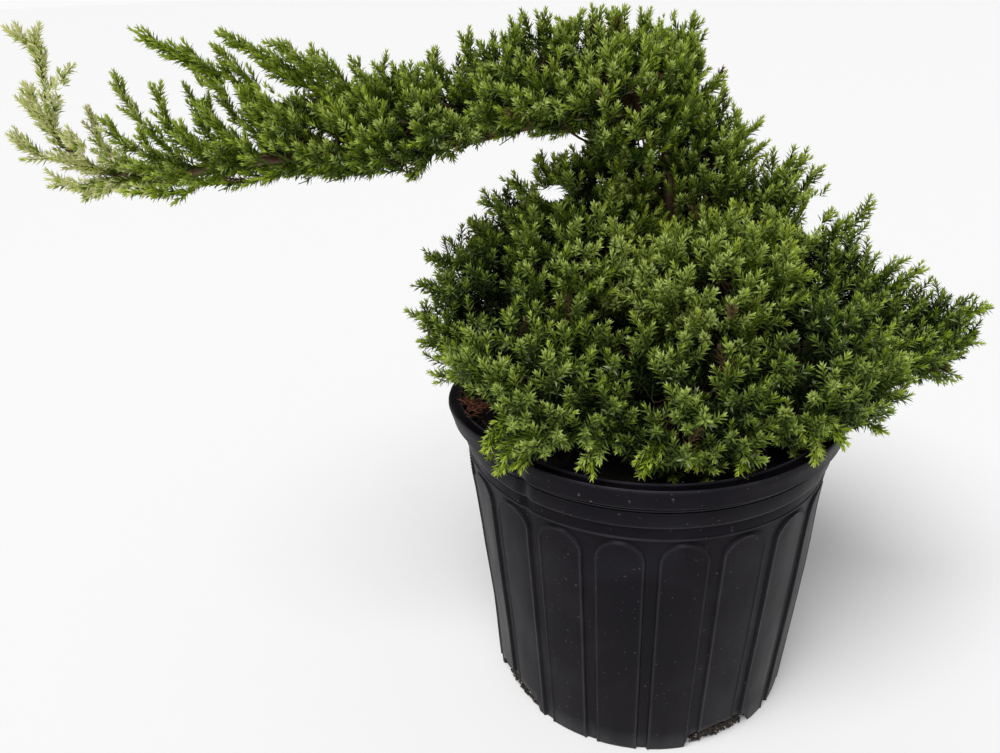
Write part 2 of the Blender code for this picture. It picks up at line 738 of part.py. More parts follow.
def grow_twig(mass, limbs, rule, stem, share, direction):
    """One twig from the stem or core to the edge of the space, shortened until it fits."""
    edge = edge_point(mass, direction, rule.uniform(0.94, 1.0))
    if mass.core and mass.scaled(edge).length < mass.core + 0.12:
        return None
    for shrink in (1.0, 0.92, 0.84, 0.76, 0.68):
        end = mass.centre.lerp(edge, shrink)
        if mass.core:
            foot = mass.centre.lerp(edge, 0.72 * mass.core) - mass.sweep * 0.002
            bare = 0.35
        else:
            foot = stem[1 + round(share * 5)]
            bare = 0.22
        span = (end - foot).length
        if span < 0.012:
            return None
        middle = foot.lerp(end, 0.5) - mass.sweep * span * 0.12
        whorls = max(1, min(MOST_WHORLS, round(span * (1 - bare) / WHORL_PITCH)))
        shape = spray(foot, middle, end, (0.0, bare), whorls, TWIG_RADIUS, rule)
        if fits(mass, limbs, *shape):
            return shape
    return None


def core_shape(mass, limbs, rule):
    """Small lumpy core, kept in the space and clear of the limbs."""
    ball = bmesh.new()
    bmesh.ops.create_icosphere(ball, subdivisions=2, radius=1.0)
    vertices = []
    faces = [tuple(corner.index for corner in face.verts) for face in ball.faces]
    for corner in ball.verts:
        direction = corner.co.normalized()
        share = mass.core * rule.uniform(0.84, 1.12)
        point = mass.away(direction, share)
        while not core_point_fits(mass, limbs, point) and share > 0.12:
            share *= 0.85
            point = mass.away(direction, share)
        vertices.append(point)
    ball.free()
    for limb in limbs:
        dent_core(mass, limb, vertices, faces)
    return vertices, faces


def dent_core(mass, limb, vertices, faces):
    """Pull the core's corners in wherever it would hold a point of a limb's skin."""
    for point in limb.skin(0.004):
        place = point - mass.centre
        if mass.scaled(point).length > 1.0:
            continue
        for face in faces:
            corners = Matrix([vertices[i] - mass.centre for i in face]).transposed()
            if abs(corners.determinant()) < 1e-15:
                continue
            shares = corners.inverted() @ place
            if min(shares) > -0.02 and 0.0 < sum(shares) < 1.04:
                for i in face:
                    vertices[i] = mass.centre + (vertices[i] - mass.centre) * sum(shares) * 0.92


def core_point_fits(mass, limbs, point):
    """True where a corner of the core is well inside its space."""
    beyond = mass.centre + (point - mass.centre) * 1.06
    if not mass.holds(beyond) or not clear_of_pot(beyond):
        return False
    return all(limb.clearance(point) > 0.003 for limb in limbs)


def join_shapes(mass, shapes, material):
    """Fuse the loose shapes of a mass into one closed solid."""
    base = make_object(mass.name, *shapes[0], material)
    parts = bpy.data.collections.new(f"{mass.name} parts")
    bpy.context.scene.collection.children.link(parts)
    for number, (vertices, faces) in enumerate(shapes[1:], 1):
        piece = make_object(f"{mass.name}_piece_{number}", vertices, faces, material)
        bpy.context.scene.collection.objects.unlink(piece)
        parts.objects.link(piece)
    fuse = base.modifiers.new("fuse", "BOOLEAN")
    fuse.operation = "UNION"
    fuse.operand_type = "COLLECTION"
    fuse.collection = parts
    fuse.solver = "EXACT"
    bpy.context.view_layer.update()
    shape = bpy.data.meshes.new_from_object(base.evaluated_get(bpy.context.evaluated_depsgraph_get()))
    base.modifiers.clear()
    base.data = shape
    keep_main_body(shape)
    for piece in list(parts.objects):
        bpy.data.objects.remove(piece, do_unlink=True)
    bpy.data.collections.remove(parts)
    return base


def keep_main_body(mesh):
    """Fill any sealed hollow and drop any loose scrap: only the largest shell stays."""
    body = bmesh.new()
    body.from_mesh(mesh)
    shells = []
    left = set(body.verts)
    while left:
        shell = {left.pop()}
        edge = list(shell)
        while edge:
            corner = edge.pop()
            for link in corner.link_edges:
                other = link.other_vert(corner)
                if other not in shell:
                    shell.add(other)
                    edge.append(other)
        left -= shell
        shells.append(shell)
    shells.sort(key=len)
    scraps = [corner for shell in shells[:-1] for corner in shell]
    bmesh.ops.delete(body, geom=scraps, context="VERTS")
    body.to_mesh(mesh)
    body.free()


def beyond_tip(limb):
    """Start of a stem just clear of a limb's end face, and its direction."""
    out = tangents(limb.path)[-1]
    return limb.path[-1] + out * GAP, out


def build_plant():
    """Trunk, arm, boughs and masses."""
    bark = make_material("bark", BARK, 0.85)
    trunk = build_trunk(bark)
    arm = build_arm(make_material("arm bark", BARK, 0.85))
    masses = mound_masses() + head_masses() + arm_masses()
    part_spaces(masses)
    part_from_limbs(masses, [trunk, arm])
    limbs = [trunk, arm]
    roots = []
    for mass in masses:
        if mass.limb == "bough":
            bough = build_bough(mass, trunk, make_material(f"{mass.name} bark", BARK, 0.85))
            limbs.append(bough)
            roots.append(beyond_tip(bough))
        elif mass.limb == "arm tip":
            roots.append(beyond_tip(arm))
        elif mass.limb == "arm":
            roots.append(off_limb(arm, 0, mass.leaves, mass.centre))
        else:
            roots.append(off_limb(trunk, 2, mass.leaves, mass.centre))
    for mass, (start, out) in zip(masses, roots, strict=True):
        shapes = grow_mass(mass, limbs, start, out)
        colour = COLOURS[mass.name.split("_")[0]]
        join_shapes(mass, shapes, make_material(f"{mass.name} needles", colour, 0.6))


def main():
    """Build the whole part."""
    clear_scene()
    build_pot(make_material("pot plastic", PLASTIC, 0.45))
    build_soil(make_material("soil", EARTH, 0.95))
    build_plant()


main()
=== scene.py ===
"""Dresses the potted garden juniper: bark, twigs, needles, the pot's plastic and the potting mix.

Metres, +Z up, origin under the middle of the pot. The long arm of the plant runs along -X.
"""

import json
import logging
import math
import random
from collections.abc import Callable, Iterable, Sequence
from dataclasses import dataclass, field
from enum import Enum
from functools import partial
from itertools import pairwise

import bmesh
import bpy
import numpy as np
from mathutils import Matrix, Vector, noise

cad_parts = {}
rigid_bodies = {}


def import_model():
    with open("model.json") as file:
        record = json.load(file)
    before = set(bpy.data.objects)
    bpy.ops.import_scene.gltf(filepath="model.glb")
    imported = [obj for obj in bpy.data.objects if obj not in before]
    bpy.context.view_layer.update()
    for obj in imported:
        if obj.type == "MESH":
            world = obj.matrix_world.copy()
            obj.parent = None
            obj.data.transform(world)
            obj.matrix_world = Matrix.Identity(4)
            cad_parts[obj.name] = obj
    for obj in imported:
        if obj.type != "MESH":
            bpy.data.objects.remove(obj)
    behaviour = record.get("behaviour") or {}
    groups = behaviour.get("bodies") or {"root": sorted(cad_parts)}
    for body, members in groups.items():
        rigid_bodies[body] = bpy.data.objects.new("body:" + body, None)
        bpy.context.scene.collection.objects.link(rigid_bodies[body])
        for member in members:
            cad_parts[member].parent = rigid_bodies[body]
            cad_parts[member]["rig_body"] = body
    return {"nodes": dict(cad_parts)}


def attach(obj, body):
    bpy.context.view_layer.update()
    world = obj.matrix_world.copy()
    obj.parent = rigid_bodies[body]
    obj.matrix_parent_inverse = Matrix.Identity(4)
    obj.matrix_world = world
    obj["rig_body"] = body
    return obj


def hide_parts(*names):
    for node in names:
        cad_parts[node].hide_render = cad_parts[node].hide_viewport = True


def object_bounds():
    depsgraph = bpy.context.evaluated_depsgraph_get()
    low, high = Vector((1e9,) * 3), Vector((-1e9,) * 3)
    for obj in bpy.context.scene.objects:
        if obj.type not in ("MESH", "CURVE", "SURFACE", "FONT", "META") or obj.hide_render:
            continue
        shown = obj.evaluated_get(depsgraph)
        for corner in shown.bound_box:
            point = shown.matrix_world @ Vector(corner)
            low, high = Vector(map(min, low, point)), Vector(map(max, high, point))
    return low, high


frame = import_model()
CAD_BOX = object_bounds()
LOG = logging.getLogger("juniper")
GOLDEN_ANGLE = math.radians(137.508)
UP = Vector((0.0, 0.0, 1.0))

Pair = tuple[float, float]
Triple = tuple[float, float, float]
Path = Sequence[Vector]
Strand = tuple[Path, float, float]
Piece = bpy.types.Object
Material = bpy.types.Material
Socket = bpy.types.NodeSocket


class NodeTree:
    """Short ways to add and link the nodes of a tree."""

    prefix = "ShaderNode"
    tree: bpy.types.NodeTree

    def add(self, kind: str, **values: object) -> bpy.types.Node:
        """Add a node.

        Args:
            kind: The node's type, without its prefix.
            **values: Sockets or values for its inputs, by socket name with _ for a space.

        Returns:
            The new node.
        """
        node = self.tree.nodes.new(self.prefix + kind)
        for name, value in values.items():
            self.put(value, node.inputs[name.replace("_", " ")])
        return node

    def put(self, value: object, socket: Socket) -> None:
        """Link an output to a socket, or set a value there.

        Args:
            value: Socket or plain value.
            socket: The input that takes it.
        """
        if isinstance(value, bpy.types.NodeSocket):
            self.tree.links.new(value, socket)
        else:
            socket.default_value = value


class Shader(NodeTree):
    """A node material with a Principled shader."""

    def __init__(self, name: str, colour: Triple, roughness: float, specular: float = 0.5) -> None:
        """Start from a plain finish.

        Args:
            name: The material's name.
            colour: Linear red, green and blue.
            roughness: Roughness of the whole surface.
            specular: Strength of its reflection.
        """
        self.material = bpy.data.materials.new(name)
        self.material.use_nodes = True
        self.material.diffuse_color = (*colour, 1.0)
        self.tree = self.material.node_tree
        self.surface = self.tree.nodes["Principled BSDF"]
        self.feed("Base Color", (*colour, 1.0))
        self.feed("Roughness", roughness)
        self.feed("Specular IOR Level", specular)

    def feed(self, name: str, value: object) -> None:
        """Link or set an input of the surface."""
        self.put(value, self.surface.inputs[name])

    def place(self, kind: str, scale: Triple = (1.0, 1.0, 1.0)) -> Socket:
        """Object or UV coordinates, with so many pattern units in a metre or a turn of the UV map."""
        return self.add("Mapping", Vector=self.add("TexCoord").outputs[kind], Scale=scale).outputs["Vector"]

    def noise(self, place: Socket, scale: float, detail: float) -> Socket:
        """A noise pattern's value at a place."""
        return self.add("TexNoise", Vector=place, Scale=scale, Detail=detail).outputs["Fac"]

    def maths(self, operation: str, *values: Socket | float) -> Socket:
        """The result of a sum on some values.

        Args:
            operation: Its name, such as MULTIPLY.
            *values: What goes in, in order.

        Returns:
            The result.
        """
        node = self.add("Math")
        node.operation = operation
        for value, socket in zip(values, node.inputs, strict=False):
            self.put(value, socket)
        return node.outputs[0]

    def ramp(self, value: Socket, stops: Sequence[tuple[float, Triple]]) -> Socket:
        """Colour by value.

        Args:
            value: The value that is read.
            stops: Positions from 0 to 1, each with its colour.

        Returns:
            The colour.
        """
        node = self.add("ValToRGB", Fac=value)
        while len(node.color_ramp.elements) < len(stops):
            node.color_ramp.elements.new(0.5)
        for element, (position, colour) in zip(node.color_ramp.elements, stops, strict=True):
            element.position = position
            element.color = (*colour, 1.0)
        return node.outputs["Color"]

    def span(self, value: Socket, low: float, high: float) -> Socket:
        """A value from 0.25 to 0.75 spread over another range."""
        node = self.add("MapRange", Value=value, From_Min=0.25, From_Max=0.75, To_Min=low, To_Max=high)
        return node.outputs["Result"]

    def blend(self, share: Socket, under: Socket, over: Triple) -> Socket:
        """A colour laid over another in the given share."""
        return self.add("MixRGB", Fac=share, Color1=under, Color2=(*over, 1.0)).outputs["Color"]

    def bump(self, height: Socket, distance: float, strength: float) -> None:
        """Relief on the surface, from a height."""
        self.feed("Normal", self.add("Bump", Height=height, Distance=distance, Strength=strength).outputs["Normal"])


class Tint(Enum):
    """Colours of the needles, dealt out whorl by whorl by a value that holds painted light and shade: outer face,
    then inner face, linear.
    """

    LIME = ((0.350, 0.450, 0.040), (0.425, 0.510, 0.150))
    BRIGHT = ((0.195, 0.275, 0.016), (0.270, 0.350, 0.076))
    LEAF = ((0.074, 0.128, 0.006), (0.156, 0.220, 0.036))
    DEEP = ((0.018, 0.041, 0.003), (0.068, 0.101, 0.024))
    # Near black: painted shade for the needles deep inside the masses.
    DUSK = ((0.004, 0.009, 0.001), (0.014, 0.023, 0.007))
    SAGE = ((0.150, 0.190, 0.065), (0.300, 0.350, 0.180))
    STRAW = ((0.640, 0.660, 0.270), (0.800, 0.810, 0.500))
    RUST = ((0.075, 0.044, 0.022), (0.110, 0.068, 0.036))


@dataclass(frozen=True)
class NeedleFinish:
    """Waxy needle, paler on its inner face."""

    tint: Tint

    def materials(self) -> list[Material]:
        """Materials of the outer and the inner faces."""
        return [Shader(f"needle {self.tint.name.lower()} {side}", colour, 0.50, 0.08).material
                for side, colour in zip(("outer", "inner"), self.tint.value, strict=True)]


@dataclass(frozen=True)
class BarkFinish:
    """Fibrous red-brown bark with grey flakes, drawn along the limb by its UV map."""

    name: str
    crevice: Triple = (0.018, 0.010, 0.007)
    fresh: Triple = (0.150, 0.058, 0.030)
    weathered: Triple = (0.260, 0.185, 0.130)

    def material(self) -> Material:
        """Mix the bark's three colours by its fibres and patches.

        Returns:
            The new material.
        """
        shader = Shader(self.name, self.fresh, 0.85)
        fibres = shader.noise(shader.place("UV", (9.0, 2.2, 1.0)), 1.6, 6.0)
        patches = shader.noise(shader.place("UV", (2.0, 1.0, 1.0)), 1.5, 3.0)
        total = shader.maths("MULTIPLY_ADD", fibres, 0.65, shader.maths("MULTIPLY", patches, 0.35))
        mean = [(a + b) / 2 for a, b in zip(self.fresh, self.weathered, strict=True)]
        stops = ((0.30, self.crevice), (0.44, self.fresh), (0.56, mean), (0.68, self.weathered))
        shader.feed("Base Color", shader.ramp(total, stops))
        shader.bump(fibres, 0.0010, 0.9)
        return shader.material


@dataclass(frozen=True)
class TwigFinish:
    """Thin brown wood inside the foliage, or the green bark of this year's shoots."""

    name: str
    colour: Triple

    def material(self) -> Material:
        """The material."""
        return Shader(self.name, self.colour, 0.8, 0.1).material


@dataclass(frozen=True)
class PlasticFinish:
    """Black nursery plastic: charcoal, faintly mottled, with specks of dust; its edges are painted paler, a painted
    highlight that also stands for abrasion.
    """

    colour: Triple = (0.0026, 0.0024, 0.0038)
    scuff: Triple = (0.0085, 0.0080, 0.0105)
    warm: Triple = (0.0046, 0.0032, 0.0048)
    # Colour of the painted highlight along the edges, which also stands for abrasion.
    worn: Triple = (0.0300, 0.0295, 0.0335)
    dust: Triple = (0.0600, 0.0580, 0.0600)
    sheen: Triple = (0.90, 0.85, 1.0)

    def material(self) -> Material:
        """Lay the painted edge highlight, which also stands for abrasion, and dust over the plastic; reads that
        highlight from an attribute of the pot's mesh.

        Returns:
            The new material.
        """
        shader = Shader("pot plastic", self.colour, 0.42, 0.088)
        place = shader.place("Object")
        stops = ((0.34, self.colour), (0.52, self.warm), (0.72, self.scuff))
        base = shader.ramp(shader.noise(place, 22.0, 5.0), stops)
        # Paler plastic along the beads, ribs, lip and foot: a painted highlight where light catches the edges, which
        # also stands for abrasion.
        wear = shader.add("Attribute")
        wear.attribute_name = "wear"
        patchiness = shader.span(shader.noise(place, 45.0, 5.0), 0.35, 1.0)
        edges = shader.blend(shader.maths("MULTIPLY", wear.outputs["Fac"], patchiness), base, self.worn)
        grains = shader.ramp(shader.noise(place, 420.0, 1.0), ((0.735, (0.0, 0.0, 0.0)), (0.765, (1.0, 1.0, 1.0))))
        shader.feed("Base Color", shader.blend(grains, edges, self.dust))
        streaks = shader.noise(shader.place("Object", (1.0, 1.0, 0.25)), 60.0, 6.0)
        shader.feed("Roughness", shader.span(streaks, 0.30, 0.50))
        shader.bump(shader.noise(place, 900.0, 2.0), 0.0002, 0.25)
        shader.feed("Specular Tint", (*self.sheen, 1.0))
        return shader.material


@dataclass(frozen=True)
class CrumbFinish:
    """Damp potting mix, or a mineral grain in it."""

    name: str
    dark: Triple
    light: Triple

    def material(self) -> Material:
        """Mix the dark and the light colour by a fine grain.

        Returns:
            The new material.
        """
        shader = Shader(self.name, self.dark, 0.92)
        grain = shader.noise(shader.place("Object"), 260.0, 5.0)
        shader.feed("Base Color", shader.ramp(grain, ((0.35, self.dark), (0.70, self.light))))
        shader.bump(grain, 0.0008, 0.8)
        return shader.material


class GeometryTree(NodeTree):
    """A Geometry Nodes tree under construction."""

    prefix = "GeometryNode"

    def __init__(self, name: str, **inputs: str) -> None:
        """Start a tree.

        Args:
            name: The tree's name.
            **inputs: Kind of each input after the geometry, such as Float or Material.
        """
        self.tree = bpy.data.node_groups.new(name, "GeometryNodeTree")
        for label, kind in {"Geometry": "Geometry", **inputs}.items():
            self.tree.interface.new_socket(label, in_out="INPUT", socket_type=f"NodeSocket{kind}")
        self.tree.interface.new_socket("Geometry", in_out="OUTPUT", socket_type="NodeSocketGeometry")
        self.start = self.tree.nodes.new("NodeGroupInput")
        self.end = self.tree.nodes.new("NodeGroupOutput")

    def given(self, label: str) -> Socket:
        """The tree's own input of that name."""
        return self.start.outputs[label]

    def attribute(self, name: str, kind: str) -> Socket:
        """A named attribute's value.

        Args:
            name: The attribute.
            kind: What it holds, such as FLOAT.

        Returns:
            Its value.
        """
        node = self.add("InputNamedAttribute", Name=name)
        node.data_type = kind
        return node.outputs["Attribute"]

    def painted(self, geometry: Socket, finish: str, **choice: Socket) -> Socket:
        """The geometry with the material of the input that finish names."""
        node = self.add("SetMaterial", Geometry=geometry, Material=self.given(finish), **choice)
        return node.outputs["Geometry"]

    def real(self, geometry: Socket) -> Socket:
        """The geometry with its instances made real."""
        return self.add("RealizeInstances", Geometry=geometry).outputs["Geometry"]

    def give(self, geometry: Socket) -> None:
        """Make this the tree's result."""
        self.put(geometry, self.end.inputs["Geometry"])

    def apply(self, item: Piece, **values: object) -> Piece:
        """Run the tree on an object and keep the result as its plain mesh.

        Args:
            item: The object, whose mesh is the tree's input geometry.
            **values: The tree's inputs.

        Returns:
            The same object, with the tree's mesh and no modifier.
        """
        modifier = item.modifiers.new(self.tree.name, "NODES")
        modifier.node_group = self.tree
        for socket in self.tree.interface.items_tree:
            if socket.in_out == "INPUT" and socket.name in values:
                modifier[socket.identifier] = values[socket.name]
        item.update_tag()
        bpy.context.view_layer.update()
        evaluated = item.evaluated_get(bpy.context.evaluated_depsgraph_get())
        mesh = bpy.data.meshes.new_from_object(evaluated)
        item.modifiers.clear()
        old, item.data = item.data, mesh
        bpy.data.meshes.remove(old)
        return item


class Scatter:
    """Small shapes put on the points of a mesh, with Geometry Nodes."""

    def __init__(self, name: str, **inputs: str) -> None:
        """Start the tree and the empty collection of shapes."""
        self.nodes = GeometryTree(name, Shapes="Collection", **inputs)
        self.shapes = bpy.data.collections.new(f"{name} shapes")

    def placed(self, points: Socket, **values: Socket) -> Socket:
        """Put the shapes on the points.

        Args:
            points: Where they go.
            **values: Their turn, size and kind, by socket name.

        Returns:
            The shapes as real geometry.
        """
        shapes = self.nodes.add("CollectionInfo", Collection=self.nodes.given("Shapes"), Separate_Children=True,
                                Reset_Children=True)
        node = self.nodes.add("InstanceOnPoints", Points=points, Instance=shapes.outputs[0], Pick_Instance=True,
                              **values)
        return self.nodes.real(node.outputs["Instances"])

    def clear(self) -> None:
        """Remove the shapes once every piece is made."""
        for item in list(self.shapes.objects):
            bpy.data.objects.remove(item)
        bpy.data.collections.remove(self.shapes)


def make_piece(name: str, vertices: Sequence, faces: Sequence, material: Material | None = None,
               edges: Sequence = ()) -> Piece:
    """A mesh object at the origin.

    Args:
        name: The piece's name.
        vertices: Its points.
        faces: Its faces, as tuples of point numbers.
        material: Its finish, or None where a node tree gives it.
        edges: Loose edges.

    Returns:
        The object, linked to the scene.
    """
    mesh = bpy.data.meshes.new(name)
    mesh.from_pydata([tuple(v) for v in vertices], list(edges), list(faces))
    mesh.update()
    if material:
        mesh.materials.append(material)
    item = bpy.data.objects.new(name, mesh)
    bpy.context.scene.collection.objects.link(item)
    return item


def store(piece: Piece, name: str, kind: str, domain: str, values: Sequence) -> None:
    """Write an attribute of a piece's mesh."""
    piece.data.attributes.new(name, kind, domain).data.foreach_set("value", values)


def hand_over(piece: Piece, nodes: Iterable[str] = ()) -> None:
    """Let a finished piece ride on the part.

    Args:
        piece: The piece.
        nodes: The nodes that it stands for.
    """
    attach(piece, "root")
    if nodes:
        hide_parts(*nodes)
    LOG.info("%s: %d faces", piece.name, len(piece.data.polygons))


def metres(*values: float) -> tuple[float, ...]:
    """Values in millimetres turned into metres."""
    return tuple(value / 1000 for value in values)


def even_angles(count: int) -> list[float]:
    """Angles spread evenly over a turn."""
    return [2 * math.pi * number / count for number in range(count)]


def polar(radius: float, angle: float, z: float) -> Triple:
    """Point at a radius and an angle about +Z, and a height."""
    return radius * math.cos(angle), radius * math.sin(angle), z


def turned(angle: float, middle: float) -> float:
    """Angle from a middle direction, within half a turn to both sides."""
    return (angle - middle + math.pi) % (2 * math.pi) - math.pi


def hump(distance: float, width: float) -> float:
    """Smooth hump: 1 in its middle, fading to both sides."""
    return math.exp(-((distance / width) ** 2))


def rings_to_faces(rows: int, columns: int, closed: bool = False) -> list[tuple[int, ...]]:
    """Quads between rows of points that close on themselves.

    Args:
        rows: Number of rows.
        columns: Points in a row.
        closed: Whether the last row also joins the first.

    Returns:
        The quads.
    """
    faces = []
    for row in range(rows if closed else rows - 1):
        start, above = row * columns, (row + 1) % rows * columns
        for column in range(columns):
            after = (column + 1) % columns
            faces.append((start + column, start + after, above + after, above + column))
    return faces


def fan(start: int, count: int, hub: int) -> list[tuple[int, int, int]]:
    """Triangles from a row of points to a middle point."""
    return [(start + side, start + (side + 1) % count, hub) for side in range(count)]


def shifted(faces: Iterable[Sequence[int]], start: int) -> list[tuple[int, ...]]:
    """Faces of points that are counted from a start."""
    return [tuple(start + corner for corner in face) for face in faces]


def smooth_path(points: Sequence[Sequence[float]], per_span: int) -> list[Vector]:
    """Smooth curve through a few points.

    Args:
        points: The points.
        per_span: Steps from one to the next.

    Returns:
        The points of the curve.
    """
    knots = [Vector(p) for p in points]
    knots = [2 * knots[0] - knots[1], *knots, 2 * knots[-1] - knots[-2]]
    path = []
    for index in range(1, len(knots) - 2):
        a, b, c, d = knots[index - 1 : index + 3]
        for step in range(per_span):
            t = step / per_span
            path.append(0.5 * (2 * b + (c - a) * t + (2 * a - 5 * b + 4 * c - d) * t**2
                               + (3 * b - a - 3 * c + d) * t**3))
    return [*path, knots[-2]]


def curve(start: Vector, middle: Vector, end: Vector, spans: int) -> list[Vector]:
    """Points of the curve from start towards middle and on to end."""
    shares = [step / spans for step in range(spans + 1)]
    return [(1 - t) ** 2 * start + 2 * t * (1 - t) * middle + t**2 * end for t in shares]


def lengths(path: Path) -> list[float]:
    """Length of a path up to each of its points.

    Args:
        path: Its points.

    Returns:
        One length for each, from 0.
    """
    result = [0.0]
    for a, b in pairwise(path):
        result.append(result[-1] + (b - a).length)
    return result


def tangents(path: Path) -> list[Vector]:
    """Unit direction of a path at each of its points."""
    last = len(path) - 1
    return [(path[min(i + 1, last)] - path[max(i - 1, 0)]).normalized() for i in range(last + 1)]


def frames(path: Path) -> list[tuple[Vector, Vector]]:
    """Two side directions at each point of a path, carried along it without twist.

    Args:
        path: Its points.

    Returns:
        A pair of directions for each.
    """
    directions = tangents(path)
    side = directions[0].orthogonal().normalized()
    result = []
    for direction in directions:
        side = (side - direction * side.dot(direction)).normalized()
        result.append((side, direction.cross(side)))
    return result


def square_to(ahead: Vector, turn: float) -> Vector:
    """Direction square to another, turned about it."""
    side = ahead.orthogonal().normalized()
    return side * math.cos(turn) + ahead.cross(side) * math.sin(turn)


def jitter(rule: random.Random, size: float) -> Vector:
    """A small shift in any direction."""
    return Vector([rule.uniform(-size, size) for _ in range(3)])


def as_array(path: Iterable[Vector]) -> np.ndarray:
    """Points as rows of numbers."""
    return np.array([tuple(point) for point in path])


@dataclass
class PotShape:
    """Sizes of the ribbed nursery pot, as in the solid."""

    height: float = 0.2427
    lip_radius: float = 0.1380
    lip_width: float = 0.0100
    foot_radius: float = 0.1162
    cone_top_radius: float = 0.1296
    ring_drop: float = 0.0412
    band_height: float = 0.0138
    bead_drop: float = 0.0162
    bead_height: float = 0.0150
    bead_radius: float = 0.1322
    wall: float = 0.0024
    floor: float = 0.0032
    panels: int = 20
    panel_width: float = math.radians(14.4)
    panel_start: float = math.radians(243.6)
    panel_relief: float = 0.0014
    arch_rise: float = 0.0160
    arch_top_drop: float = 0.0445
    drains: tuple[float, ...] = tuple(math.radians(turn) for turn in (25.0, 109.0, 205.0, 289.0))
    drain_width: float = 0.056
    drain_height: float = 0.0170
    soil_level: float = 0.2222
    lowest_needle: float = 0.05

    def cone_radius(self, z: float) -> float:
        """Outer radius of the plain wall at a height."""
        return self.foot_radius + (self.cone_top_radius - self.foot_radius) * z / (self.height - self.ring_drop)

    def inner_radius(self, z: float) -> float:
        """Radius of the inside at a height."""
        return self.cone_radius(z) - self.panel_relief / 2 - self.wall

    def clear(self, places: np.ndarray, margin: float) -> np.ndarray:
        """True where a place is clear of the pot's wall and the soil.

        Args:
            places: Points, one a row.
            margin: Least distance.

        Returns:
            A truth value for each.
        """
        radius = np.hypot(places[:, 0], places[:, 1])
        z = places[:, 2]
        inside = (radius < self.lip_radius - self.lip_width - margin) & (z > self.soil_level + margin)
        outside = (radius > self.lip_radius + margin) & (z > self.lowest_needle)
        return (z > self.height + margin) | inside | outside


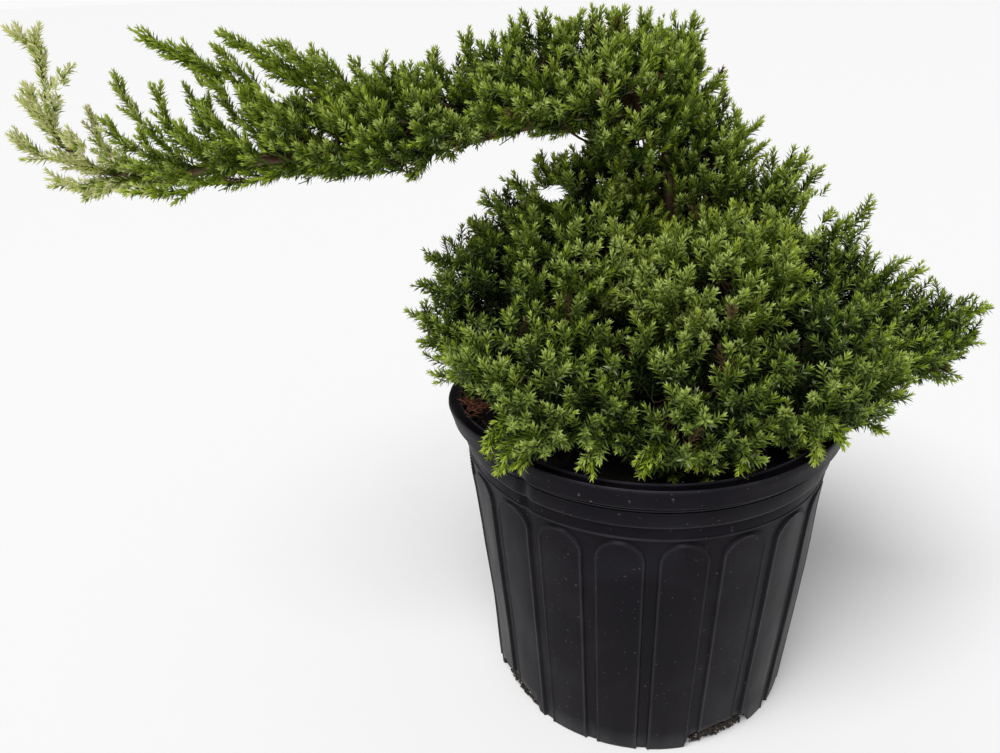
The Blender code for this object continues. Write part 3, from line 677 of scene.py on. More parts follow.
@dataclass
class Pot:
    """The pot as a modelled shell: fluted wall, bands, rolled lip, drain notches and its chance damage.

    across and by_edge place the wall's columns over half a panel: shares of it, and distances from its edge.
    crease and pull hold the direction, width, depth and length down the wall of the folded and the pulled rim.
    dents hold direction, height, width, spread in height and depth.
    """

    shape: PotShape
    across: tuple[float, ...] = (0.17, 0.34, 0.50, 0.62, 0.72, 0.80)
    by_edge: tuple[float, ...] = metres(-2.0, -1.4, -1.0, -0.6, -0.3, 0.0, 0.3, 0.6, 1.0, 1.8, 2.8)
    edge: float = 0.0007
    bead: float = 0.0006
    bead_inset: float = 0.0010
    bead_width: float = 0.0007
    wall_from: float = 0.0195
    wall_rows: tuple[float, ...] = (0.027, 0.040, 0.065, 0.090, 0.115, 0.140)
    arch_rows: int = 26
    notch_step: float = 0.0035
    notch_ragged: float = 0.0006
    crease: tuple[float, ...] = (math.radians(221.5), math.radians(2.2), -0.0036, 0.070)
    crease_side: Triple = (-0.12, 0.16, 0.55)
    pull: tuple[float, ...] = (math.radians(184.0), math.radians(17.0), 0.0065, 0.036)
    dents: tuple[tuple[float, ...], ...] = (
        (math.radians(331.0), 0.180, math.radians(20.0), 0.040, -0.0021),
        (math.radians(184.0), 0.065, math.radians(20.0), 0.040, -0.0015),
        (math.radians(184.0), 0.190, math.radians(12.0), 0.022, 0.0015),
    )

    def columns(self) -> list[float]:
        """Angles of the wall's columns, closer together at the panels' edges.

        Returns:
            The angles in order.
        """
        pitch = 2 * math.pi / self.shape.panels
        half = self.shape.panel_width / 2
        side = [half * share for share in self.across]
        side += [half + offset / self.shape.foot_radius for offset in self.by_edge]
        local = [-turn for turn in reversed(side)] + [0.0, *side, pitch / 2]
        centres = [self.shape.panel_start + half + panel * pitch for panel in range(self.shape.panels)]
        return [centre + turn for centre in centres for turn in local]

    def inset(self, angle: float, z: float) -> float:
        """How far a place on the wall lies inside the edge of its panel.

        Args:
            angle: Direction about +Z.
            z: Height.

        Returns:
            The distance.
        """
        shape = self.shape
        pitch = 2 * math.pi / shape.panels
        half = shape.panel_width / 2
        local = (angle - shape.panel_start - half + pitch / 2) % pitch - pitch / 2
        radius = shape.cone_radius(z)
        width = half * radius
        spring = shape.height - shape.arch_top_drop - shape.arch_rise
        rise = max(0.0, z - spring) * width / shape.arch_rise
        return width - math.hypot(local * radius, rise)

    def relief(self, angle: float, z: float) -> float:
        """Height of the panels' relief over the plain cone.

        Args:
            angle: Direction about +Z.
            z: Height.

        Returns:
            The relief, above and below 0.
        """
        distance = self.inset(angle, z)
        share = min(1.0, max(0.0, 0.5 + distance / (2 * self.edge)))
        lift = share * share * (3 - 2 * share) * self.shape.panel_relief
        return lift + self.bead * self.rounding(distance) - self.shape.panel_relief / 2

    def rounding(self, distance: float) -> float:
        """The raised bead just inside a panel's edge, 1 along its top."""
        return hump(distance - self.bead_inset, self.bead_width)

    def damage(self, angle: float, z: float) -> float:
        """How far the plastic has given way: the folded rim, the pulled lip, the wall's shallow dents.

        Args:
            angle: Direction about +Z.
            z: Height.

        Returns:
            The distance outwards.
        """
        drop = self.shape.height - z
        middle, width, depth, length = self.crease
        turn = turned(angle, middle)
        beside, beside_width, share = self.crease_side
        shape = hump(turn, width) + hump(turn - beside, beside_width) * share
        total = depth * max(0.0, 1 - drop / length) ** 1.5 * shape
        middle, width, depth, length = self.pull
        total += depth * max(0.0, 1 - drop / length) ** 1.2 * hump(turned(angle, middle), width)
        for middle, height, width, spread, depth in self.dents:
            total += depth * hump(turned(angle, middle), width) * hump(z - height, spread)
        return total

    def foot(self, angle: float) -> float:
        """Height of the wall's lower edge, raised in the drain notches.

        Args:
            angle: Direction about +Z.

        Returns:
            The height.
        """
        shape = self.shape
        for drain in shape.drains:
            across = turned(angle, drain) * shape.foot_radius / (shape.drain_width / 2)
            if abs(across) < 1:
                ragged = self.notch_ragged * noise.noise(Vector((angle * 90, 0.0, 3.0)))
                return self.notch_step + (shape.drain_height - self.notch_step) * math.sqrt(1 - across**2) + ragged
        return 0.0

    def profile(self) -> list[Triple]:
        """The bands, the lip with its hollow top, the hem and the inside.

        Returns:
            The rows from the top of the panels over the lip and down.
        """
        shape = self.shape
        top, lip, bead = shape.height, shape.lip_radius, shape.bead_radius
        bead_top = top - shape.bead_drop
        band_foot = top - shape.band_height
        ring = top - shape.ring_drop
        # The third number of each step is the painted highlight, which also stands for abrasion, on that edge.
        bands = (
            (ring, shape.cone_radius(ring), ((-1.2, 0.0, 0.0), (-0.4, 0.8, 0.9), (0.4, 0.8, 0.9), (1.1, 0.2, 0.0))),
            (bead_top - shape.bead_height, bead, (
                (-1.4, -2.6, 0.0), (-0.2, -3.0, 0.0), (0.3, -0.4, 0.5), (1.0, 0.0, 0.6), (2.0, 0.1, 0.1))),
            (bead_top, bead, (
                (-4.2, 0.4, 0.1), (-3.4, 0.2, 0.5), (-3.0, -1.4, 0.0), (-2.3, -1.4, 0.0), (-1.9, 0.7, 0.5),
                (-0.9, 0.9, 0.8), (-0.4, -1.0, 0.0))),
            (band_foot, bead, ((-0.8, -1.0, 0.0),)),
            (band_foot, lip, ((-0.2, -1.6, 0.5), (0.8, -0.7, 0.8), (1.6, -0.8, 0.1))),
            (top, lip, (
                (-6.0, -0.3, 0.0), (-1.8, 0.0, 0.1), (-0.5, -0.4, 0.7), (0.0, -1.1, 0.8), (-0.3, -1.7, 0.4),
                (-1.3, -2.6, 0.0), (-1.8, -5.0, 0.0))),
            (top, lip - shape.lip_width, (
                (-1.6, 2.0, 0.0), (-0.5, 1.4, 1.0), (-0.4, 0.8, 1.0), (-1.4, 0.3, 0.2), (-12.0, 0.0, 0.0))),
        )
        rows = [(z + up / 1000, radius + out / 1000, wear) for z, radius, steps in bands for up, out, wear in steps]
        return rows + [(z, shape.inner_radius(z), 0.0) for z in (top - 0.0312, 0.030, self.wall_from)]

    def at_wall(self, z: float, angle: float) -> Triple:
        """Height and radius of the fluted wall, and the painted highlight on its beads, which also stands for
        abrasion.
        """
        radius = self.shape.cone_radius(z) + self.relief(angle, z)
        return z, radius, 0.8 * self.rounding(self.inset(angle, z))

    def at_foot(self, inset: float, lift: float, angle: float) -> Triple:
        """Height and radius of the wall's lower edge, and its painted highlight, which also stands for abrasion."""
        z = self.foot(angle) + lift
        return z, self.shape.cone_radius(z) + self.relief(angle, z) - inset, 0.5

    def rows(self) -> list[Callable[[float], Triple]]:
        """All rows of the shell, from its foot up the outside and down the inside.

        Returns:
            For each row, what gives height, radius and painted edge highlight (which also stands for abrasion) at an
            angle.
        """
        shape = self.shape
        spring = shape.height - shape.arch_top_drop - shape.arch_rise
        heights = [self.wall_from, *self.wall_rows, spring - 0.012, spring]
        heights += [spring + (shape.arch_rise + 0.0018) * (step / self.arch_rows) ** 0.75
                    for step in range(1, self.arch_rows + 1)]
        round_foot = 0.0006
        result: list[Callable[[float], Triple]] = [partial(self.at_foot, 0.0, round_foot)]
        result += [partial(self.at_wall, z) for z in heights]
        result += [lambda angle, row=row: row for row in self.profile()]
        for inset, lift in ((shape.wall, round_foot), (shape.wall - 0.0004, 0.0), (0.0004, 0.0)):
            result.append(partial(self.at_foot, inset, lift))
        return result

    def build(self) -> None:
        """Build the shell and its floor as one piece, and hand it over."""
        angles = self.columns()
        rows = self.rows()
        vertices, wear = [], []
        for row in rows:
            for angle in angles:
                z, radius, worn = row(angle)
                vertices.append(polar(radius + self.damage(angle, z), angle, z))
                wear.append(worn)
        faces = rings_to_faces(len(rows), len(angles), closed=True)
        self.add_floor(vertices, faces)
        piece = make_piece("pot_shell", vertices, faces, PlasticFinish().material())
        # This attribute holds the painted edge highlight, which also stands for abrasion.
        store(piece, "wear", "FLOAT", "POINT", wear + [0.0] * (len(vertices) - len(wear)))
        piece.data.shade_smooth()
        piece.data.set_sharp_from_angle(angle=math.radians(38))
        hand_over(piece, ["pot"])

    def add_floor(self, vertices: list, faces: list) -> None:
        """Add the floor: a thin disc set into the foot, drawn in at the notches.

        Args:
            vertices: The shell's points, which grow.
            faces: The shell's faces, which grow.
        """
        sides, gap, notch = 180, 0.0003, 0.0080
        start = len(vertices)
        levels = (0.0, self.shape.floor)
        for z in levels:
            for angle in even_angles(sides):
                inset = gap + (notch if self.foot(angle) > 0.0 else 0.0)
                vertices.append(polar(self.shape.inner_radius(z) - inset, angle, z))
        vertices += [(0.0, 0.0, z) for z in levels]
        faces += shifted(rings_to_faces(2, sides), start)
        faces += [face[::-1] for face in fan(start, sides, len(vertices) - 2)]
        faces += fan(start + sides, sides, len(vertices) - 1)


class GrainScatter(Scatter):
    """Scatters small grains over a surface."""

    def __init__(self) -> None:
        """Build the tree and the shapes."""
        super().__init__("grain scatter", Density="Float", Seed="Int", Smallest="Float", Largest="Float",
                         Finish="Material")
        nodes = self.nodes
        points = nodes.add("DistributePointsOnFaces", Mesh=nodes.given("Geometry"), Density=nodes.given("Density"),
                           Seed=nodes.given("Seed"))
        turn = nodes.tree.nodes.new("FunctionNodeRandomValue")
        turn.data_type = "FLOAT_VECTOR"
        turn.inputs[1].default_value = (6.283, 6.283, 6.283)
        size = nodes.tree.nodes.new("FunctionNodeRandomValue")
        for label, socket in (("Smallest", 2), ("Largest", 3), ("Seed", "Seed")):
            nodes.put(nodes.given(label), size.inputs[socket])
        grains = self.placed(points.outputs["Points"], Rotation=turn.outputs[0], Scale=size.outputs[1])
        nodes.give(nodes.painted(grains, "Finish"))
        for number in range(3):
            self.shapes.objects.link(self.lump(number))

    def lump(self, number: int) -> Piece:
        """One angular grain, 1 across.

        Args:
            number: Its number among the shapes.

        Returns:
            The shape, out of the scene.
        """
        rule = random.Random(100 + number)
        ball = bmesh.new()
        bmesh.ops.create_icosphere(ball, subdivisions=1, radius=0.5)
        stretch = [rule.uniform(*limits) for limits in ((0.8, 1.5), (0.7, 1.1), (0.6, 0.9))]
        for corner in ball.verts:
            corner.co = Vector([corner.co[i] * stretch[i] * rule.uniform(0.8, 1.2) for i in range(3)])
        mesh = bpy.data.meshes.new(f"grain_{number}")
        ball.to_mesh(mesh)
        ball.free()
        return bpy.data.objects.new(f"grain_{number}", mesh)


@dataclass
class PottingMix:
    """The soil in the pot: an uneven fill, crumbs on it and in the drain notches, white grains."""

    shape: PotShape
    clearance: float = 0.0010
    sides: int = 120
    rings: int = 26
    bed_sides: int = 60
    bed_rings: int = 8
    spill_steps: int = 12
    spill_foot: float = 0.0014
    spill_rise: float = 0.0110

    def build(self) -> None:
        """Build the fill, the crumbs and the white grains, and hand them over."""
        mix = CrumbFinish("potting mix", (0.0030, 0.0023, 0.0019), (0.0180, 0.0125, 0.0090))
        spilt = CrumbFinish("spilt mix", (0.0060, 0.0042, 0.0032), (0.0480, 0.0330, 0.0230))
        white = CrumbFinish("white grains", (0.42, 0.40, 0.36), (0.75, 0.73, 0.68))
        hand_over(self.build_fill(mix.material()), ["soil"])
        scatter = GrainScatter()
        kinds = (
            ("soil_crumbs", self.build_bed, 55000.0, 0.0012, 0.0036, mix, 3),
            ("soil_flecks", self.build_bed, 3500.0, 0.0010, 0.0022, white, 4),
            ("drain_crumbs", self.build_spill, 420000.0, 0.0010, 0.0030, spilt, 5),
            ("drain_flecks", self.build_spill, 45000.0, 0.0008, 0.0018, white, 6),
        )
        for name, bed, density, smallest, largest, finish, seed in kinds:
            hand_over(scatter.nodes.apply(bed(name), Density=density, Smallest=smallest, Largest=largest, Seed=seed,
                                          Finish=finish.material(), Shapes=scatter.shapes))
        scatter.clear()

    def top(self, outer: float, rings: int, sides: int) -> list[Triple]:
        """Points of the soil's uneven surface, in rings from the outside in, without the middle.

        Args:
            outer: Radius of the outer ring.
            rings: Number of rings.
            sides: Points in a ring.

        Returns:
            The points.
        """
        points = []
        for radius in (outer * (1 - ring / rings) for ring in range(rings)):
            points += [polar(radius, angle, self.level(radius, angle)) for angle in even_angles(sides)]
        return points

    def level(self, radius: float, angle: float) -> float:
        """Height of the soil's surface."""
        place = Vector(polar(radius, angle, 0.0))
        return self.shape.soil_level - 0.0022 + 0.0016 * noise.noise(place * 60) + 0.0008 * noise.noise(place * 170)

    def build_fill(self, material: Material) -> Piece:
        """The body of soil, closed, with an uneven top.

        Args:
            material: Its finish.

        Returns:
            The piece.
        """
        vertices = []
        for z in (self.shape.floor + 0.0003, 0.02):
            radius = self.shape.inner_radius(z) - self.clearance
            vertices += [polar(radius, angle, z) for angle in even_angles(self.sides)]
        outer = self.shape.inner_radius(self.shape.soil_level) - 2 * self.clearance
        vertices += self.top(outer, self.rings, self.sides)
        faces = rings_to_faces(self.rings + 2, self.sides)
        faces += fan(len(vertices) - self.sides, self.sides, len(vertices))
        faces.append(tuple(reversed(range(self.sides))))
        vertices.append((0.0, 0.0, self.level(0.0, 0.0)))
        piece = make_piece("soil_fill", vertices, faces, material)
        piece.data.shade_smooth()
        return piece

    def build_bed(self, name: str) -> Piece:
        """The soil's top, for grains to lie on.

        Args:
            name: The piece's name.

        Returns:
            The surface.
        """
        outer = self.shape.inner_radius(self.shape.soil_level) - 0.006
        faces = rings_to_faces(self.bed_rings, self.bed_sides)
        return make_piece(name, self.top(outer, self.bed_rings, self.bed_sides), faces)

    def build_spill(self, name: str) -> Piece:
        """A patch in each drain notch, for grains to show there.

        Args:
            name: The piece's name.

        Returns:
            The surface.
        """
        vertices, faces = [], []
        half = self.shape.drain_width * 0.45 / self.shape.foot_radius
        radius = self.shape.inner_radius(0.0) + 0.0012
        for drain in self.shape.drains:
            for step in range(self.spill_steps + 1):
                across = 2 * step / self.spill_steps - 1
                top = self.spill_foot + 0.0002 + self.spill_rise * math.sqrt(max(0.0, 1 - across**2))
                vertices += [polar(radius, drain + across * half, z) for z in (self.spill_foot, top)]
                if step:
                    last = len(vertices) - 1
                    faces.append((last - 3, last - 1, last, last - 2))
        return make_piece(name, vertices, faces)


class Limb:
    """A tapering limb: its path and the radius at each point."""

    def __init__(self, path: Path, ends: Pair,
                 extra: Callable[[Vector], float] | None = None) -> None:
        """Taper evenly along the path.

        Args:
            path: Points along the middle of the limb.
            ends: Radius at the first and at the last point.
            extra: Radius that is added at a point.
        """
        self.path, self.ends, self.extra = list(path), ends, extra
        self.spans = lengths(self.path)
        self.radii = [ends[0] + (ends[1] - ends[0]) * s / self.spans[-1] for s in self.spans]
        if extra:
            self.radii = [radius + extra(point) for radius, point in zip(self.radii, self.path, strict=True)]

    def clearance(self, places: np.ndarray) -> np.ndarray:
        """Distance from each place to the limb's surface, up to 1.

        Args:
            places: Points, one a row.

        Returns:
            The distance of each.
        """
        best = np.full(len(places), 1.0)
        for (a, b), radius in zip(pairwise(self.path), self.radii, strict=False):
            start = np.array(a)
            along = np.array(b) - start
            t = np.clip((places - start) @ along / (along @ along), 0.0, 1.0)
            best = np.minimum(best, np.linalg.norm(places - start - t[:, None] * along, axis=1) - radius)
        return best

    def leave(self, axis: int, value: float, toward: Vector) -> tuple[Vector, Vector]:
        """Where something grows from the limb.

        Args:
            axis: 0 for x, 2 for z.
            value: Coordinate on that axis at which it leaves the limb's path.
            toward: Where it grows to.

        Returns:
            The start on the limb's side, and the direction outwards.
        """
        point, direction, radius = self.path[-1], tangents(self.path)[-1], self.radii[-1]
        for (a, b), thick in zip(pairwise(self.path), self.radii, strict=False):
            if (a[axis] - value) * (b[axis] - value) <= 0 and a[axis] != b[axis]:
                point = a.lerp(b, (value - a[axis]) / (b[axis] - a[axis]))
                direction, radius = (b - a).normalized(), thick
                break
        out = toward - point
        out = (out - direction * out.dot(direction)).normalized()
        return point + out * radius * 0.8, out

    def refined(self, pitch: float) -> "Limb":
        """The same limb with closer points.

        Args:
            pitch: Greatest distance of its points.

        Returns:
            The finer limb.
        """
        path = []
        for a, b in pairwise(self.path):
            steps = max(1, round((b - a).length / pitch))
            path += [a.lerp(b, step / steps) for step in range(steps)]
        return Limb([*path, self.path[-1]], self.ends, self.extra)


@dataclass
class Wood:
    """Trunk, arm and boughs, with the relief of their bark. The two paths are in millimetres."""

    pot: PotShape
    trunk_path: tuple[Triple, ...] = (
        (22, 12, 222.5), (25.5, 10, 260), (21.5, 6, 310), (14.5, 4, 370), (10, 2.5, 420), (6.5, 0.4, 439.5),
        (2.5, 0, 449.5))
    arm_path: tuple[Triple, ...] = (
        (2.5, 0, 449.5), (-10, 0, 451.2), (-37, 0, 443.5), (-83, 1, 429), (-145, 2, 418), (-192.5, 3, 417.5),
        (-242, 4, 416), (-286, 5, 411), (-329, 6, 410), (-352, 6, 417), (-366, 6, 431))
    trunk_radii: Pair = (0.0090, 0.0054)
    arm_radii: Pair = (0.0050, 0.0017)
    bough_radii: Pair = (0.0034, 0.0018)
    bough_entry: float = 0.72
    bough_spans: int = 14
    root_flare: float = 0.0050
    root_flare_height: float = 0.0140
    bark_pitch: float = 0.0016
    ridges: float = 0.10
    flakes: float = 0.14
    buttresses: int = 5
    buttress_depth: float = 0.20

    def __post_init__(self) -> None:
        """Work out the paths of the trunk and the arm."""
        self.trunk = Limb(smooth_path([metres(*p) for p in self.trunk_path], 14), self.trunk_radii, self.swell)
        self.arm = Limb(smooth_path([metres(*p) for p in self.arm_path], 12), self.arm_radii)
        self.boughs: dict[str, Limb] = {}

    def swell(self, point: Vector) -> float:
        """Extra radius of the trunk near the soil."""
        height = max(0.0, point.z - self.pot.soil_level)
        return self.root_flare * max(0.0, 1 - height / self.root_flare_height) ** 2

    def limbs(self) -> list[Limb]:
        """Every limb."""
        return [self.trunk, self.arm, *self.boughs.values()]

    def grow_bough(self, space: "Space") -> None:
        """Grow the bough that leads from the trunk into a space.

        Args:
            space: The space.
        """
        start, out = self.trunk.leave(2, space.leaves, space.centre)
        inward = (start - space.centre).normalized()
        end = space.centre + inward * space.reach(inward) * self.bough_entry
        middle = start + out * (end - start).length * 0.45
        self.boughs[space.name] = Limb(curve(start, middle, end, self.bough_spans), self.bough_radii)

    def skin(self, limb: Limb, sides: int, seed: float) -> tuple[list, list, list]:
        """Bark of one limb, ridged and flaking.

        Args:
            limb: The limb.
            sides: Points round it.
            seed: Where in the noise its ridges are read.

        Returns:
            Points, faces, and UV places of the points.
        """
        vertices, places = [], []
        girth = 2 * math.pi * limb.radii[0]
        for centre, radius, span, (side, other) in zip(limb.path, limb.radii, limb.spans, frames(limb.path),
                                                       strict=True):
            flare = limb.extra(centre) / self.root_flare if limb.extra else 0.0
            for corner, angle in enumerate(even_angles(sides)):
                look = Vector((math.cos(angle) * 1.7 + seed, math.sin(angle) * 1.7, span * 45))
                ridge = noise.noise(look) * self.ridges + abs(noise.noise(look * 2.3)) * self.flakes - 0.05
                ridge += self.buttress_depth * flare * (math.cos(self.buttresses * angle) - 1)
                length = radius * (1 + ridge)
                vertices.append(centre + length * (math.cos(angle) * side + math.sin(angle) * other))
                places.append((corner / sides, span / girth))
        if limb.extra:
            for point in vertices[:sides]:
                point.z = self.pot.soil_level
        faces = rings_to_faces(len(limb.path), sides)
        faces += [tuple(reversed(range(sides))), tuple(range(len(vertices) - sides, len(vertices)))]
        return vertices, faces, places

    def dress(self, name: str, limbs: Sequence[Limb], sides: int, slot: str, nodes: Sequence[str]) -> None:
        """Build one piece of bark and hand it over.

        Args:
            name: The piece's name.
            limbs: The limbs that it covers.
            sides: Points round each limb.
            slot: Its material slot; not used.
            nodes: The nodes that it stands for.
        """
        vertices, faces, places = [], [], []
        for number, limb in enumerate(limbs):
            points, quads, uv = self.skin(limb.refined(self.bark_pitch), sides, 7.0 * number)
            faces += shifted(quads, len(vertices))
            vertices += points
            places += uv
        piece = make_piece(name, vertices, faces, BarkFinish(name.replace("_", " ")).material())
        layer = piece.data.uv_layers.new(name="along the limb")
        for face in piece.data.polygons:
            corners = [places[piece.data.loops[i].vertex_index] for i in face.loop_indices]
            seam = max(u for u, _ in corners) > 0.75
            for loop, (u, v) in zip(face.loop_indices, corners, strict=True):
                layer.data[loop].uv = (u + 1.0 if seam and u < 0.25 else u, v)
        piece.data.shade_smooth()
        hand_over(piece, nodes)


class Region(Enum):
    """Parts of the foliage: the prefixes of their nodes, and their slot."""

    MOUND = (("mound", "skirt"), "mound_foliage")
    CROWN = (("crown",), "crown_foliage")
    HEAD = (("head",), "head_foliage")
    ARM = (("arm",), "arm_foliage")

    def nodes(self) -> list[str]:
        """The solid masses that this region's pieces stand for."""
        return sorted(n for n in frame["nodes"] if n.split("_")[0] in self.value[0] and n != "arm")


@dataclass
class Space:
    """The space of one mass of needles, as in the solids.

    limb and leaves say where its stem starts: at a height of the trunk, at an x of the arm,
    or at the tip of a bough that leaves the trunk at that height.
    """

    name: str
    centre: Vector
    radii: Vector
    limb: str
    leaves: float
    sweep: Vector

    @property
    def region(self) -> Region:
        """The region it belongs to."""
        return next(r for r in Region if self.name.split("_")[0] in r.value[0])

    def away(self, direction: Vector, share: float) -> Vector:
        """Point at a share of the radii from the centre."""
        return self.centre + share * Vector([direction[i] * self.radii[i] for i in range(3)])

    def scaled(self, point: Vector) -> float:
        """How far out a point lies: 1 at the surface."""
        return Vector([(point[i] - self.centre[i]) / self.radii[i] for i in range(3)]).length

    def reach(self, direction: Vector) -> float:
        """Distance from the centre to the surface along a direction."""
        return 1.0 / self.scaled(self.centre + direction.normalized())

    def area(self) -> float:
        """Rough area of the surface."""
        a, b, c = self.radii
        return 4 * math.pi * (((a * b) ** 1.6 + (a * c) ** 1.6 + (b * c) ** 1.6) / 3) ** (1 / 1.6)


# Name, centre and half sizes in millimetres, the limb that the stem leaves and where, and its sweep.
UPWARD, ALONG_UP, ALONG = (0.0, 0.0, 0.4), (-0.7, 0.0, 0.5), (-0.7, 0.0, 0.1)
SPACES = (
    ("mound_front", 5, -88, 281, 60, 56, 50, "bough", 256),
    ("mound_front_left", -79, -70, 284, 63, 62, 56, "bough", 247),
    ("mound_left", -100, 4, 304, 61, 60, 62, "bough", 258),
    ("mound_back_left", -74, 67, 320, 59, 56, 58, "bough", 243),
    ("mound_back", 2, 99, 290, 62, 58, 54, "bough", 257),
    ("mound_back_right", 86, 74, 292, 64, 58, 54, "bough", 245),
    ("mound_right", 121, 2, 304, 55, 54, 50, "bough", 280),
    ("mound_front_right", 78, -74, 291, 58, 59, 50, "bough", 243),
    ("mound_far_right", 190, 2, 272, 53, 38, 32, "bough", 255, (0.5, 0.0, 0.2)),
    ("skirt_right", 156, -36, 276, 41, 43, 27, "bough", 267, (0.4, -0.2, 0.1)),
    ("skirt_front_right", 114, -72, 277, 38, 42, 30, "bough", 257, (0.3, -0.3, 0.2)),
    ("crown_left", -44, -8, 350, 58, 55, 42, "trunk", 318),
    ("crown_front", 28, -50, 343, 55, 53, 43, "trunk", 312),
    ("crown_right", 72, 6, 354, 44, 51, 44, "trunk", 325),
    ("crown_back", 18, 58, 336, 58, 52, 44, "trunk", 315),
    ("crown_sprig", -50, 0, 390, 33, 26, 20, "trunk", 372, (-0.4, 0.0, 0.5)),
    ("head_right", 28, 6, 405, 36, 40, 42, "trunk", 395),
    ("head_low", -18, 4, 404, 27, 30, 34, "trunk", 400),
    ("head_top", 3, 3, 461, 28, 34, 26, "trunk", 440),
    ("head_front", -22, -26, 452, 46, 32, 34, "arm", -16),
    ("head_back", -8, 32, 446, 44, 33, 36, "arm", -16),
    ("head_left", -34, 0, 461, 31, 34, 30, "arm", -30),
    ("arm_front_1", -82, -22, 447, 48, 33, 26, "arm", -64, ALONG_UP),
    ("arm_back_1", -90, 25, 446, 48, 35, 31, "arm", -70, ALONG_UP),
    ("arm_top_1", -70, 1, 462, 48, 32, 28, "arm", -60, ALONG_UP),
    ("arm_front_2", -158, -20, 437, 48, 33, 28, "arm", -130, ALONG_UP),
    ("arm_back_2", -153, 27, 435, 48, 35, 31, "arm", -134, ALONG_UP),
    ("arm_top_2", -140, 3, 444, 49, 32, 26, "arm", -120, ALONG_UP),
    ("arm_front_3", -214, -14, 431, 44, 32, 25, "arm", -180, ALONG),
    ("arm_back_3", -210, 29, 427, 44, 34, 29, "arm", -186, ALONG_UP),
)


def spaces() -> list[Space]:
    """The spaces of every mass, from their table.

    Returns:
        The spaces, with each bough's in the order in which it grows.
    """
    found = []
    for name, x, y, z, along, across, tall, limb, leaves, *sweep in SPACES:
        centre, radii = Vector(metres(x, y, z)), Vector(metres(along, across, tall))
        found.append(Space(name, centre, radii, limb, leaves / 1000, Vector(sweep[0] if sweep else UPWARD)))
    return found


@dataclass(frozen=True)
class Spray:
    """A long spray that stands clear of the masses: its points run from its foot to its tip."""

    region: Region
    fullness: float
    brightness: float
    points: tuple[Triple, ...]
